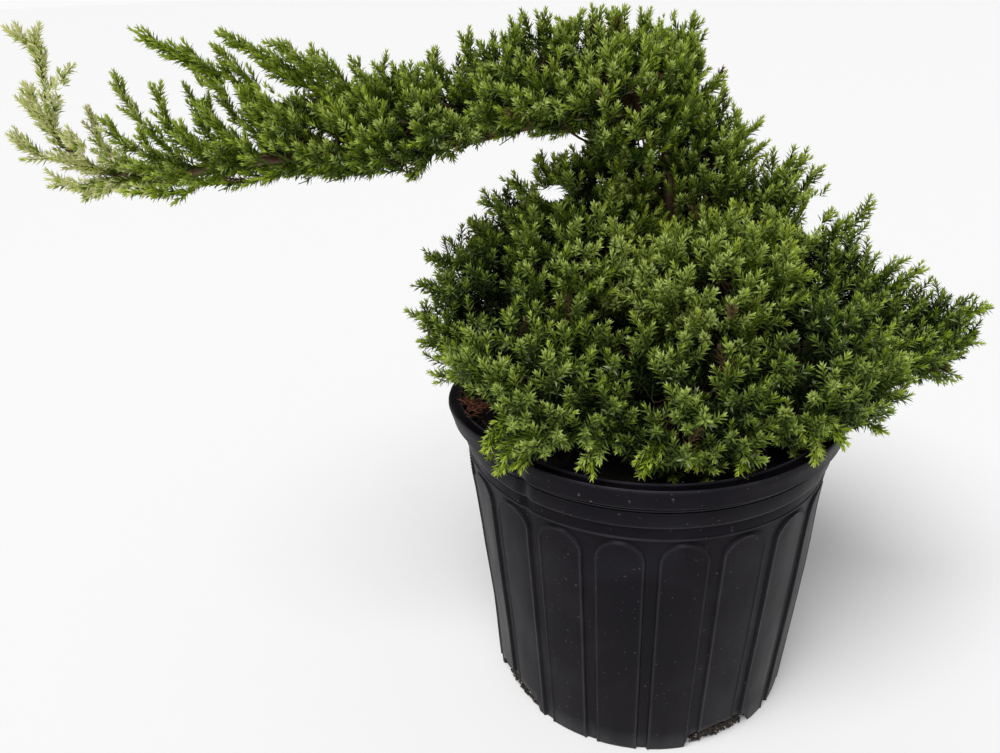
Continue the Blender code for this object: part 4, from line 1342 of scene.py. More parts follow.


# Region, fullness, then for each spray its brightness, which holds painted light and shade by where the spray lies,
# and its points in millimetres.
SPRAYS = (
    # The upturned end of the arm.
    (Region.ARM, 0.78, (
        (0.60, -366, 6, 431, -370, 6, 449, -365, 6, 478, -371, 6, 490, -379, 6, 497),
        (0.60, -366, 4, 470, -364, 3, 484, -363, 3, 495), (0.60, -368, 6, 445, -357, 0, 463, -347, -2, 476),
        (0.60, -368, 6, 436, -377, 10, 452, -380, 12, 465), (0.60, -367, 6, 433, -379, 12, 447, -386, 15, 458),
    )),
    # Upright sprays of the outer arm.
    (Region.ARM, 1.0, (
        (0.36, -334, 5, 413, -368, -4, 424, -379, -6, 431, -387, -7, 441),
        (0.36, -320, 5, 411, -343, -10, 426, -354, -12, 440),
        (0.36, -316, 5, 411, -344, 12, 425, -348, 14, 450),
        (0.36, -294, 5, 411, -318, -16, 431, -327, -18, 446),
        (0.36, -292, 5, 411, -321, 18, 441, -332, 20, 468), (0.36, -276, 5, 412, -295, -6, 436, -299, -8, 463),
        (0.36, -262, 5, 413, -281, 12, 435, -286, 13, 461), (0.36, -246, 4, 414, -277, 26, 433, -285, 30, 464),
        (0.36, -284, 5, 412, -304, -10, 422, -312, -14, 439),
        (0.36, -256, 4, 414, -279, -14, 426, -288, -18, 443),
        (0.36, -234, 4, 415, -261, -8, 430, -272, -10, 449),
    )),
    # Long sprays that rise over the arm towards its tip.
    (Region.ARM, 1.0, (
        (0.46, -176, 3, 420, -216, 4, 436, -242, 4, 448, -266, 4, 464, -281, 3, 475.5, -308, 2, 493.5),
        (0.46, -276, 3, 472.5, -292, 1, 483.5, -302, 0, 489.5),
        (0.46, -170, 4, 438, -205, 4, 454, -224, 4, 463, -240, 4, 472),
        (0.46, -262, 4, 462, -272, 0, 473, -280, -2, 483), (0.46, -240, 4, 450, -254, 6, 461, -264, 8, 470),
        (0.46, -150, 3, 424, -209, 8, 459, -228, 8, 470, -246, 8, 480, -261, 8, 489),
        (0.46, -222, 6, 440, -236, 5, 451, -248, 4, 464, -257, 3, 474, -262, 2, 482),
        (0.46, -150, 2, 424, -196, -2, 454, -207, -3, 465, -217, -4, 475, -227, -4, 483.5),
        (0.46, -140, 2, 420, -190, 26, 450, -205, 29, 462, -212, 31, 474),
        (0.46, -206, 3, 417, -240, -12, 442, -248, -14, 460),
        (0.46, -194, 3, 418, -228, -20, 443, -235, -22, 458),
        (0.46, -222, 3, 417, -252, 24, 438, -262, 32, 458),
        (0.46, -214, 3, 417, -240, 0, 440, -256, 0, 452, -274, 0, 467),
        (0.46, -186, 3, 418, -212, -14, 436, -226, -18, 446, -236, -18, 452),
        (0.46, -170, 4, 440, -192, 2, 459, -200, 0, 471), (0.46, -232, 4, 418, -256, 8, 438, -266, 8, 454),
        (0.46, -248, 4, 418, -270, -2, 438, -278, -2, 454),
    )),
    # Sprays that hang along the underside of the arm; their low brightness is painted shade under it.
    (Region.ARM, 1.0, (
        (0.22, -196, 3, 417, -254, -12, 407, -297, -14, 403, -334, -10, 405),
        (0.22, -300, 5, 411, -345, 12, 402, -364, 14, 398), (0.22, -312, 5, 411, -350, -6, 408, -374, -6, 413),
        (0.22, -226, 4, 416, -278, 22, 404, -319, 24, 401),
        (0.22, -150, 2, 418, -186, -16, 408, -222, -18, 406, -250, -16, 405),
        (0.22, -250, 4, 416, -286, -24, 414, -316, -34, 424), (0.22, -146, 2, 411, -151, 0, 405, -157, 0, 402),
        (0.22, -250, 4, 416, -284, 34, 418, -312, 44, 430),
    )),
    # Plumes that stand up out of the head and the inner arm.
    (Region.HEAD, 1.0, (
        (0.34, -84, 2, 452, -87, 1, 474, -87, 1, 484), (0.34, -66, 8, 452, -69, 8, 474, -70, 8, 489),
        (0.34, -52, -4, 452, -57, -5, 472, -58, -6, 484), (0.34, -34, 4, 460, -38, 4, 478, -38, 4, 490),
        (0.34, -30, -8, 460, -30, -8, 478, -28, -8, 488), (0.34, -8, 2, 460, -10, 1, 476, -10, 0, 485),
        (0.34, 8, 2, 456, 17, 2, 472, 22, 2, 483), (0.34, -16, 30, 452, -20, 36, 472, -22, 38, 486),
        (0.34, 18, 6, 430, 32, 6, 441, 42, 5, 452), (0.34, 36, 6, 395, 54, 6, 408, 65, 4, 420),
        (0.34, -40, 2, 434, -58, 0, 425.5, -77, -2, 423.5), (0.34, -36, 6, 432, -52, 6, 424.5, -68, 6, 422),
        (0.34, 44, 6, 388, 60, 5, 397, 70, 4, 406),
    )),
    (Region.ARM, 1.0, (
        (0.34, -106, 2, 446, -114, 1, 466, -116, 0, 479), (0.34, -124, 8, 446, -133, 8, 460, -136, 8, 470),
        (0.34, -156, -2, 444, -165, -2, 457, -167, -2, 467),
        (0.34, -168, 10, 444, -180, 10, 457, -184, 10, 468),
    )),
    # Sprays that reach out of the crown and the mound, some of them over the rim of the pot.
    (Region.CROWN, 1.0, (
        (0.20, -60, 0, 366, -80, -6, 384, -94, -10, 397), (0.24, -58, 4, 384, -68, 4, 397, -74, 4, 407),
        (0.24, 86, 4, 362, 100, 3, 377, 107, 2, 389),
    )),
    (Region.MOUND, 1.0, (
        (-0.05, -102, -2, 348, -112, -4, 360, -118, -5, 369),
        (0.26, 178, -20, 262, 192, -30, 254, 200, -36, 249),
        (0.26, 70, -104, 276, 80, -118, 270, 87, -124, 262), (0.24, 116, 4, 328, 124, 3, 342, 129, 2, 352),
        (0.28, 148, 2, 298, 163, 1, 312, 172, 0, 322),
    )),
    (Region.CROWN, 1.0, (
        (0.10, -76, -4, 360, -96, -8, 374, -111, -10, 386), (0.24, 80, 6, 374, 92, 4, 388, 99, 2, 398),
        (0.24, 70, -6, 376, 81, -6, 391, 87, -6, 400), (0.20, 100, 4, 338, 112, 2, 350, 121, 0, 360),
    )),
    (Region.MOUND, 1.0, (
        (0.28, 120, 4, 330, 136, 2, 350, 146, 0, 364), (0.28, 160, 2, 292, 178, 2, 306, 190, 0, 317),
        (0.34, 206, 2, 270, 227, 1, 278, 245, 0, 285), (0.26, 206, -6, 262, 222, -8, 262, 232, -10, 265),
        (-0.05, -110, 0, 334, -132, -6, 344, -148, -10, 350),
        (0.00, -122, -6, 316, -142, -10, 326, -155, -12, 333),
        (0.10, -126, -4, 290, -144, -8, 300, -157, -10, 308),
        (0.14, -122, -6, 276, -144, -10, 286, -158, -12, 292),
        (0.20, -118, -10, 262, -136, -14, 264, -151, -16, 268),
        (0.22, -86, -98, 288, -102, -110, 285, -114, -114, 278, -121, -116, 270),
        (0.22, -86, -102, 282, -100, -116, 276, -109, -121, 267, -113, -123, 259),
        (0.20, -80, -104, 274, -94, -118, 270, -103, -124, 261),
        (0.30, -50, -112, 270, -58, -122, 264, -62, -126, 258),
        (0.36, -16, -112, 268, -26, -120, 258, -30, -122, 248),
        (0.36, 10, -112, 268, 6, -122, 260, 2, -124, 252), (0.38, 30, -112, 268, 30, -124, 258, 28, -126, 249),
        (0.40, 66, -106, 270, 72, -120, 262, 70, -126, 254),
        (0.30, 100, -84, 262, 114, -94, 256, 122, -98, 250),
    )),
)


def sprays() -> list[Spray]:
    """Every long spray, from their table.

    Returns:
        The sprays in the order of their seeds.
    """
    found = []
    for region, fullness, rows in SPRAYS:
        for brightness, *numbers in rows:
            row = metres(*numbers)
            found.append(Spray(region, fullness, brightness, tuple(zip(row[::3], row[1::3], row[2::3], strict=True))))
    return found


@dataclass(frozen=True)
class Viewpoint:
    """Where the camera stands. Angles in degrees: turned left of +Y, tipped down, rolled."""

    position: Triple = (-0.1279, -0.5163, 0.5160)
    yaw: float = -2.4252
    pitch: float = 26.7446
    roll: float = -2.7936
    lens: float = 29.145

    def axes(self) -> tuple[Vector, Vector, Vector]:
        """Right, up and forward directions.

        Returns:
            The three directions.
        """
        yaw, pitch, roll = (math.radians(a) for a in (self.yaw, self.pitch, self.roll))
        forward = Vector((-math.sin(yaw) * math.cos(pitch), math.cos(yaw) * math.cos(pitch), -math.sin(pitch)))
        right = Vector((math.cos(yaw), math.sin(yaw), 0.0))
        up = right.cross(forward)
        return (math.cos(roll) * right + math.sin(roll) * up, math.cos(roll) * up - math.sin(roll) * right, forward)

    def build(self) -> None:
        """Make the scene's camera."""
        right, up, forward = self.axes()
        data = bpy.data.cameras.new("camera")
        data.lens, data.sensor_width, data.clip_start = self.lens, 36.0, 0.01
        camera = bpy.data.objects.new("camera", data)
        camera.matrix_world = Matrix.Translation(self.position) @ Matrix((right, up, -forward)).transposed().to_4x4()
        bpy.context.scene.collection.objects.link(camera)
        bpy.context.scene.camera = camera


@dataclass(frozen=True)
class Opening:
    """A gap through which the sky shows: its middle in the trunk's plane and half sizes, in millimetres, and tilt."""

    x: float
    z: float
    along: float
    across: float
    tilt: float = 0.0

    def holds(self, places: np.ndarray) -> np.ndarray:
        """True for places that lie in front of the gap or behind it as seen from the camera.

        Args:
            places: Points, one a row.

        Returns:
            A truth value for each.
        """
        eye = np.array(Viewpoint.position)
        x, z, along, across = metres(self.x, self.z, self.along, self.across)
        share = eye[1] / (eye[1] - places[:, 1])
        right = eye[0] + (places[:, 0] - eye[0]) * share - x
        up = eye[2] + (places[:, 2] - eye[2]) * share - z
        c, s = math.cos(math.radians(self.tilt)), math.sin(math.radians(self.tilt))
        return ((right * c + up * s) / along) ** 2 + ((up * c - right * s) / across) ** 2 < 1.0


OPENINGS = (
    Opening(-64.5, 383, 10, 6.5), Opening(-9.7, 411.7, 5.2, 3.4, 20), Opening(-48, 476.8, 11, 2, 84),
    Opening(-17.6, 481.9, 7.5, 2.4, 90), Opening(2.8, 482.1, 7, 2.4, 80), Opening(107.5, 358, 15, 7.5, 75),
    Opening(-206, 428.5, 15, 3, 150), Opening(-256, 454, 9.5, 3.5, 109), Opening(-278, 458, 7, 4, 110),
    Opening(-249, 425, 6, 3, 120), Opening(-233, 452, 8, 2.5, 150), Opening(-347, 423, 6, 3.5, 120),
    Opening(-356, 459, 7, 3, 80),
)


@dataclass(frozen=True)
class Habit:
    """How branchlets grow in a part of the plant.

    layers holds, for each layer of branchlets from the outside in, its share of the radii, how much
    wider apart its branchlets are, and how much painted shade dims its needles.
    length and shoot hold the shortest and the longest branchlet and side shoot.
    leans holds the kind of whorl from the foot of a shoot to its tip, pitch the distance between whorls.
    """

    spacing: float
    layers: tuple[Triple, ...]
    length: Pair
    shoot: Pair
    rise: float
    outward: float
    along_sweep: float
    needle: float
    tone: float
    leans: tuple[int, ...]
    pitch: float
    side_shoots: int = 5


HABITS = {
    Region.MOUND: Habit(0.0240, ((0.95, 1.0, -0.02), (0.72, 1.10, -0.75), (0.50, 1.4, -1.20)), (0.025, 0.036),
                        (0.013, 0.021), 0.70, 0.60, 0.5, 0.0068, -0.14, (0, 0, 1, 1, 2), 0.0016),
    Region.CROWN: Habit(0.0205, ((0.94, 1.0, -0.02), (0.72, 1.2, -0.55), (0.48, 1.5, -1.00)), (0.022, 0.031),
                        (0.012, 0.018), 0.80, 0.50, 0.5, 0.0063, 0.27, (1, 1, 1, 2, 2), 0.0016),
    Region.HEAD: Habit(0.0178, ((0.93, 1.0, 0.0), (0.66, 1.2, -0.50)), (0.017, 0.026),
                       (0.010, 0.015), 0.85, 0.50, 0.5, 0.0058, 0.12, (1, 1, 2, 2, 2), 0.0014),
    Region.ARM: Habit(0.0178, ((0.93, 1.0, 0.0), (0.62, 1.2, -0.45)), (0.017, 0.027),
                      (0.010, 0.015), 0.60, 0.35, 0.8, 0.0058, 0.16, (1, 1, 2, 2, 2), 0.0014),
}


class Whorls(Scatter):
    """The shapes of a whorl of needles, from splayed to closed, and the tree that places them."""

    KINDS = ((62, 3, 0.245), (50, 3, 0.265), (36, 3, 0.345), (22, 4, 0.32))
    DEPTH = 0.10
    FACES = (((0, 1, 2), True), ((1, 3, 2), True), ((0, 3, 1), False), ((0, 2, 3), False))

    def __init__(self) -> None:
        """Build the tree and the shapes."""
        super().__init__("needle sprays", Outer="Material", Inner="Material")
        nodes = self.nodes
        points = nodes.add("MeshToPoints", Mesh=nodes.given("Geometry")).outputs["Points"]
        needles = self.placed(points, Instance_Index=nodes.attribute("kind", "INT"),
                              Rotation=nodes.attribute("turn", "QUATERNION"), Scale=nodes.attribute("size", "FLOAT"))
        inner = nodes.attribute("inner", "BOOLEAN")
        nodes.give(nodes.painted(nodes.painted(needles, "Outer"), "Inner", Selection=inner))
        for kind, (lean, count, width) in enumerate(self.KINDS):
            self.shapes.objects.link(self.whorl(kind, lean, count, width))

    def whorl(self, kind: int, lean: float, count: int, width: float) -> Piece:
        """One whorl about +Z, with needles 1 long.

        Args:
            kind: Its number among the shapes.
            lean: Degrees by which its needles lean out.
            count: How many needles it has.
            width: Width of a needle.

        Returns:
            The shape, out of the scene.
        """
        rule = random.Random(kind)
        vertices, faces = [], []
        for number in range(count):
            turn = 2 * math.pi * number / count + rule.uniform(-0.12, 0.12)
            angle = math.radians(lean + rule.uniform(-5, 5))
            radial = Vector((math.cos(turn), math.sin(turn), 0.0))
            ahead = radial * math.sin(angle) + UP * math.cos(angle)
            inward = UP * math.sin(angle) - radial * math.cos(angle)
            half = UP.cross(radial) * width / 2
            foot = radial * 0.05
            belly = foot + ahead * 0.40 + inward * self.DEPTH
            faces += shifted([face for face, _ in self.FACES], len(vertices))
            vertices += [foot, belly + half, belly - half, foot + ahead + inward * 0.05]
        item = make_piece(f"whorl_{kind}", vertices, faces)
        bpy.context.scene.collection.objects.unlink(item)
        solid = bmesh.new()
        solid.from_mesh(item.data)
        bmesh.ops.recalc_face_normals(solid, faces=solid.faces)
        solid.to_mesh(item.data)
        solid.free()
        store(item, "inner", "BOOLEAN", "FACE", [pale for _, pale in self.FACES] * count)
        return item

    def place(self, name: str, rows: np.ndarray, finish: NeedleFinish) -> Piece:
        """Make one piece of needles.

        Args:
            name: The piece's name.
            rows: For each whorl its place, the shoot's direction, turn about it, length of needle, kind.
            finish: Colour of its needles.

        Returns:
            The piece as a plain mesh.
        """
        x, y, z, spins = rows[:, 3:7].T
        half = np.stack([1 + z, -y, x, np.zeros(len(rows))], axis=1)
        half[half[:, 0] < 1e-6] = (0.0, 1.0, 0.0, 0.0)
        half /= np.linalg.norm(half, axis=1)[:, None]
        w, x, y, z = half.T
        c, s = np.cos(spins / 2), np.sin(spins / 2)
        turns = np.stack([w * c - z * s, x * c + y * s, y * c - x * s, z * c + w * s], axis=1)
        item = make_piece(name, rows[:, :3], [])
        store(item, "turn", "QUATERNION", "POINT", turns.ravel())
        store(item, "size", "FLOAT", "POINT", rows[:, 7].ravel())
        store(item, "kind", "INT", "POINT", rows[:, 8].astype(np.int32))
        outer, inner = finish.materials()
        self.nodes.apply(item, Shapes=self.shapes, Outer=outer, Inner=inner)
        for label in ("turn", "size", "kind", "inner"):
            layer = item.data.attributes.get(label)
            if layer:
                item.data.attributes.remove(layer)
        return item


class TwigTubes:
    """Turns loose strands with a radius at each point into closed tubes, with Geometry Nodes."""

    def __init__(self) -> None:
        """Build the tree."""
        self.nodes = GeometryTree("twig tubes", Sides="Int", Finish="Material")
        nodes = self.nodes
        strand = nodes.add("MeshToCurve", Mesh=nodes.given("Geometry"))
        ring = nodes.add("CurvePrimitiveCircle", Resolution=nodes.given("Sides"), Radius=1.0)
        tube = nodes.add("CurveToMesh", Curve=strand.outputs["Curve"], Profile_Curve=ring.outputs["Curve"],
                         Scale=nodes.attribute("radius", "FLOAT"), Fill_Caps=True)
        nodes.give(nodes.painted(nodes.real(tube.outputs["Mesh"]), "Finish"))

    def build(self, name: str, strands: Sequence[Strand], sides: int, finish: TwigFinish) -> Piece:
        """Make one piece of twigs.

        Args:
            name: The piece's name.
            strands: Path, first radius and last radius of each twig.
            sides: Sides of a twig.
            finish: Its finish.

        Returns:
            The piece as a plain mesh.
        """
        vertices, edges, radii = [], [], []
        for path, thick, thin in strands:
            start = len(vertices)
            vertices += path
            edges += pairwise(range(start, len(vertices)))
            radii += [thick + (thin - thick) * index / (len(path) - 1) for index in range(len(path))]
        item = make_piece(name, vertices, [], edges=edges)
        store(item, "radius", "FLOAT", "POINT", radii)
        return self.nodes.apply(item, Sides=sides, Finish=finish.material())


@dataclass(frozen=True)
class RimLine:
    """Least heights of the mound's branchlets: the rim stays bare at the left, the right is cut level."""

    right: tuple[Pair, ...] = ((0.185, 0.249), (0.150, 0.269), (0.125, 0.268))
    right_slope: float = 0.25
    right_middle: float = -0.040
    bare_turns: Pair = (178.0, 222.0)
    bare_radius: float = 0.115
    bare_height: float = 0.262
    bare_slope: float = 1.1
    front: Pair = (-0.105, -0.035)
    front_depth: float = -0.075
    front_height: float = 0.268

    def height(self, point: Vector) -> float:
        """Least height at a point, or 0.

        Args:
            point: The point.

        Returns:
            The height.
        """
        for x, least in self.right:
            if point.x > x:
                return least - self.right_slope * (point.y - self.right_middle)
        out = math.hypot(point.x, point.y)
        turn = math.degrees(math.atan2(point.y, point.x)) % 360
        if self.bare_turns[0] < turn < self.bare_turns[1] and out > self.bare_radius:
            return self.bare_height + self.bare_slope * (out - self.bare_radius)
        if self.front[0] < point.x < self.front[1] and point.y < self.front_depth:
            return self.front_height
        return 0.0


@dataclass(frozen=True)
class Litter:
    """Dry curled needles lying on the left of the rim. turn (degrees) and out hold a mean and a spread."""

    pot: PotShape
    tries: int = 190
    turn: Pair = (189.0, 3.6)
    out: Pair = (0.1275, 0.0040)
    farthest: float = 0.1385
    level: float = 0.2452
    heap: float = 0.007
    length: Pair = (0.004, 0.008)
    gap: float = 0.0006

    def strands(self, rule: random.Random) -> list[Strand]:
        """The needles that lie clear of the pot.

        Args:
            rule: Source of their places and shapes.

        Returns:
            Path and radii of each.
        """
        found = []
        for _ in range(self.tries):
            turn, out = math.radians(rule.gauss(*self.turn)), rule.gauss(*self.out)
            at = Vector(polar(out, turn, self.level + self.heap * rule.random() ** 2))
            heading = rule.uniform(0, 2 * math.pi)
            way = Vector(polar(1.0, heading, rule.uniform(0.0, 0.4)))
            bend = Vector((-way.y, way.x, rule.uniform(0.2, 1.0))) * rule.uniform(-0.9, 0.9)
            reach = rule.uniform(*self.length)
            path = curve(at, at + (way + bend) * reach * 0.5, at + way * reach, 4)
            inside = all(math.hypot(p.x, p.y) < self.farthest for p in path)
            if inside and self.pot.clear(as_array(path), self.gap).all():
                found.append((path, 0.0003, 0.0002))
        return found


@dataclass
class Foliage:
    """The needles and twigs of one region.

    The fields that end in _radii hold the radius of a strand at its foot and at its tip.
    bare_bark holds the lengths of the arm, in x, whose bark shows. underside holds x and z of the arm's
    lower outline. pale_from and straw_from say at which x its needles turn pale, then straw.
    """

    region: Region
    neighbours: list[Space]
    wood: Wood
    pot: PotShape
    twigs: list[Strand] = field(default_factory=list)
    shoots: list[Strand] = field(default_factory=list)
    litter: list[Strand] = field(default_factory=list)
    rows: list[tuple[float, ...]] = field(default_factory=list)
    tints: list[Tint] = field(default_factory=list)
    piece_limit: int = 12000
    core: float = 0.84
    twig_gap: float = 0.0015
    needle_gap: float = 0.0042
    limb_gap: float = 0.0004
    past_box: Pair = (0.005, 0.006)
    dead_share: float = 0.008
    pale_from: float = -0.220
    straw_from: float = -0.305
    stem_radii: Pair = (0.0016, 0.0010)
    twig_radii: Pair = (0.0010, 0.0006)
    axis_radii: Pair = (0.0006, 0.0003)
    shoot_radii: Pair = (0.0005, 0.0003)
    shoot_lean: Pair = (38.0, 56.0)
    spray_radii: Pair = (0.0010, 0.0004)
    spray_pitch: float = 0.0044
    spray_shoot: Pair = (0.008, 0.013)
    spray_shoot_radii: Pair = (0.0004, 0.0003)
    clad_from: float = 0.150
    clad_pitch: Pair = (0.0011, 0.0018)
    clad_shoot: Pair = (0.008, 0.014)
    needle_sizes: Pair = (0.88, 1.1)
    tip_from: float = 0.93
    tip_size: float = 0.85
    tip_kind: int = 3
    tip_light: float = 0.96
    light_middle: float = 0.47
    bare_bark: tuple[Pair, ...] = ((-0.249, -0.227), (-0.289, -0.279))
    underside: tuple[Pair, ...] = (
        (-0.290, 0.3975), (-0.257, 0.3965), (-0.225, 0.4000), (-0.176, 0.3985), (-0.149, 0.3980), (-0.1425, 0.4050),
        (-0.118, 0.4125), (-0.099, 0.4165), (-0.074, 0.4190), (-0.045, 0.4180))
    tint_bands: tuple[tuple[float, Tint], ...] = (
        (0.58, Tint.LIME), (0.24, Tint.BRIGHT), (-0.10, Tint.LEAF), (-0.45, Tint.DEEP))

    def __post_init__(self) -> None:
        """Look up how this region grows."""
        self.habit = HABITS[self.region]

    def grow(self) -> None:
        """Grow every space of the region, and its long sprays."""
        for one in self.neighbours:
            if one.region is self.region:
                self.grow_space(one, random.Random(one.name))
        for number, spray in enumerate(sprays()):
            if spray.region is self.region:
                self.grow_spray(spray, random.Random(number))
        if self.region is Region.ARM:
            self.clad_arm(random.Random("arm"))
        if self.region is Region.MOUND:
            self.litter = Litter(self.pot).strands(random.Random("litter"))

    def grow_space(self, one: Space, rule: random.Random) -> None:
        """One mass: a stem to its heart, twigs from it, and a branchlet on each twig.

        Args:
            one: The mass.
            rule: Source of small differences.
        """
        start, out = self.stem_root(one)
        heart = one.centre + one.sweep * 0.002
        stem = curve(start, start + out * (heart - start).length * 0.4, heart, 8)
        self.twigs.append((stem, *self.stem_radii))
        # Each inner layer gets less bright needles: painted shade deep inside the mass.
        for share, wider, painted_shade in self.habit.layers:
            count = max(6, round(one.area() * share**2 / (self.habit.spacing * wider) ** 2))
            turn = rule.uniform(0, math.pi)
            for number in range(count):
                direction = self.even_direction(number, count, turn, rule)
                tip = one.away(direction, share * rule.uniform(0.82, 1.06))
                if not self.buried(one, tip, share):
                    self.grow_branchlet(one, stem, tip, direction, self.habit.tone + painted_shade, rule)

    def stem_root(self, one: Space) -> tuple[Vector, Vector]:
        """Where a space's stem starts, and its first direction.

        Args:
            one: The mass.

        Returns:
            The start and the direction.
        """
        if one.limb == "bough":
            path = self.wood.boughs[one.name].path
            return path[-1], tangents(path)[-1]
        if one.limb == "arm":
            return self.wood.arm.leave(0, one.leaves, one.centre)
        return self.wood.trunk.leave(2, one.leaves, one.centre)

    def even_direction(self, number: int, count: int, turn: float, rule: random.Random) -> Vector:
        """One of a set of directions spread evenly round a point, a little jittered.

        Args:
            number: Its number.
            count: How many there are.
            turn: Turn of the whole set.
            rule: Source of the jitter.

        Returns:
            The direction.
        """
        height = 1 - 2 * (number + 0.5) / count
        direction = Vector(polar(math.sqrt(1 - height**2), number * GOLDEN_ANGLE + turn, height))
        return (direction + jitter(rule, 1.0) / math.sqrt(count)).normalized()

    def buried(self, one: Space, tip: Vector, share: float) -> bool:
        """True where a branchlet's tip would lie deep in another mass."""
        return any(other is not one and other.scaled(tip) < min(self.core, share) for other in self.neighbours)

    def grow_branchlet(self, one: Space, stem: Path, tip: Vector, outward: Vector, tone: float,
                       rule: random.Random) -> None:
        """A twig from the stem, ending in an upturned axis with side shoots.

        Args:
            one: The mass that it belongs to.
            stem: The stem of that mass.
            tip: Where the axis ends.
            outward: Direction from the middle of the mass.
            tone: How bright its needles are, with the painted shade of their layer.
            rule: Source of small differences.
        """
        habit = self.habit
        way = outward * habit.outward + one.sweep * habit.along_sweep + UP * habit.rise + jitter(rule, 1.0) * 0.3
        way.normalize()
        length = min(rule.uniform(*habit.length), 0.8 * (tip - one.centre).length + 0.004)
        foot = self.lifted(tip - way * length)
        tip = self.lifted(tip)
        middle = self.lifted(foot.lerp(tip, 0.5) - UP * length * 0.12)
        hub = stem[rule.randint(5, 8)]
        twig = curve(hub, hub.lerp(foot, 0.5) - UP * 0.12 * (foot - hub).length, foot, 4)
        if not self.pot.clear(as_array((*twig[2:], middle, tip)), self.twig_gap).all():
            return
        self.twigs.append((twig, *self.twig_radii))
        # Branchlets that point up get brighter needles and those that point down dimmer ones: painted light and
        # shade. The patch is the plant's own uneven tone.
        exposure = tone + 0.22 * way.z + self.patch(tip)
        axis = curve(foot, middle, tip, 6)
        self.shoots.append((axis[::2], *self.axis_radii))
        self.clothe(axis, exposure, rule, 0.15)
        phase = rule.uniform(0, 2 * math.pi)
        for number in range(habit.side_shoots):
            t = 0.12 + 0.74 * number / (habit.side_shoots - 1)
            self.side_shoot(axis, t, phase + number * GOLDEN_ANGLE, exposure, rule)

    def side_shoot(self, axis: Path, t: float, turn: float, exposure: float,
                   rule: random.Random) -> None:
        """One shoot from the side of a branchlet's axis, curving forwards and up.

        Args:
            axis: The axis.
            t: Share of it at which the shoot leaves.
            turn: Turn about it.
            exposure: How bright the needles are, painted light and shade included.
            rule: Source of small differences.
        """
        index = min(len(axis) - 2, int(t * (len(axis) - 1)))
        at = axis[index].lerp(axis[index + 1], t * (len(axis) - 1) - index)
        ahead = (axis[index + 1] - axis[index]).normalized()
        lean = math.radians(rule.uniform(*self.shoot_lean))
        way = ahead * math.cos(lean) + square_to(ahead, turn) * math.sin(lean)
        length = rule.uniform(*self.habit.shoot) * (1.1 - 0.45 * t)
        end = at + (way + UP * 0.30 * self.habit.rise + ahead * 0.2).normalized() * length
        path = curve(at, at + way * length * 0.5, end, 2)
        self.shoots.append((path, *self.shoot_radii))
        # Shoots near the foot of the axis, deeper in the mass, get dimmer needles: painted shade.
        self.clothe(path, exposure - 0.12 * (1 - t) + rule.uniform(-0.1, 0.1), rule, 0.12)

    def clothe(self, path: Path, exposure: float, rule: random.Random, bare: float) -> None:
        """Set whorls of needles along a shoot.

        Args:
            path: The shoot's path.
            exposure: How bright its needles are, from about -1 to 1, painted light and shade included.
            rule: Source of small differences.
            bare: Share of its length at its foot without needles.
        """
        spans = lengths(path)
        total = spans[-1]
        count = max(2, round(total * (1 - bare) / self.habit.pitch))
        spin = rule.uniform(0, math.pi)
        dead = rule.random() < self.dead_share and path[0].x > -0.30
        index = 0
        for number in range(count):
            u = number / (count - 1)
            s = total * (bare + (1 - bare) * u)
            while index < len(path) - 2 and spans[index + 1] < s:
                index += 1
            at = path[index].lerp(path[index + 1], (s - spans[index]) / (spans[index + 1] - spans[index]))
            axis = ((path[index + 1] - path[index]).normalized() + jitter(rule, 0.1)).normalized()
            spin += math.pi / 3 + rule.uniform(-0.15, 0.15)
            last = u > self.tip_from
            kind = self.tip_kind if last else self.habit.leans[min(4, int(u * 5))]
            size = self.habit.needle * (1.0 - 0.25 * u) * rule.uniform(*self.needle_sizes)
            self.rows.append((*at, *axis, spin, size * (self.tip_size if last else 1.0), kind))
            light = exposure + self.tip_light * (u - self.light_middle)
            self.tints.append(Tint.RUST if dead else self.tint(light, at.x, rule))

    def patch(self, at: Vector) -> float:
        """Slow change of brightness over the plant."""
        return 0.34 * noise.noise(at * 17) + 0.26 * noise.noise(at * 50 + Vector((3.0, 0.0, 0.0)))

    def tint(self, value: float, x: float, rule: random.Random) -> Tint:
        """The colour for a brightness: pale towards the arm's tip, straw at its end.

        Args:
            value: The brightness.
            x: Place along the arm.
            rule: Source of the choice.

        Returns:
            The colour.
        """
        value += rule.uniform(-0.06, 0.06) + 1.3 * min(0.12, max(0.0, self.pale_from - x))
        if x < self.straw_from and rule.random() < min(0.85, (self.straw_from - x) * 17):
            return Tint.STRAW if value > -0.15 else Tint.SAGE
        tint = next((tint for least, tint in self.tint_bands if value > least), Tint.DUSK)
        return Tint.SAGE if tint is Tint.DEEP and rule.random() < 0.10 else tint

    def short_shoot(self, at: Vector, ahead: Vector, way: Vector, reach: float, spans: int,
                    radii: Pair) -> list[Vector]:
        """Add a short shoot that leans, then points a little ahead.

        Args:
            at: Its foot.
            ahead: Direction of the axis.
            way: Its own direction.
            reach: Its length.
            spans: Parts of its path.
            radii: Radius at its foot and its tip.

        Returns:
            Its path.
        """
        path = curve(at, at + way * reach * 0.5, at + way * reach + ahead * 0.002, spans)
        self.shoots.append((path, *radii))
        return path

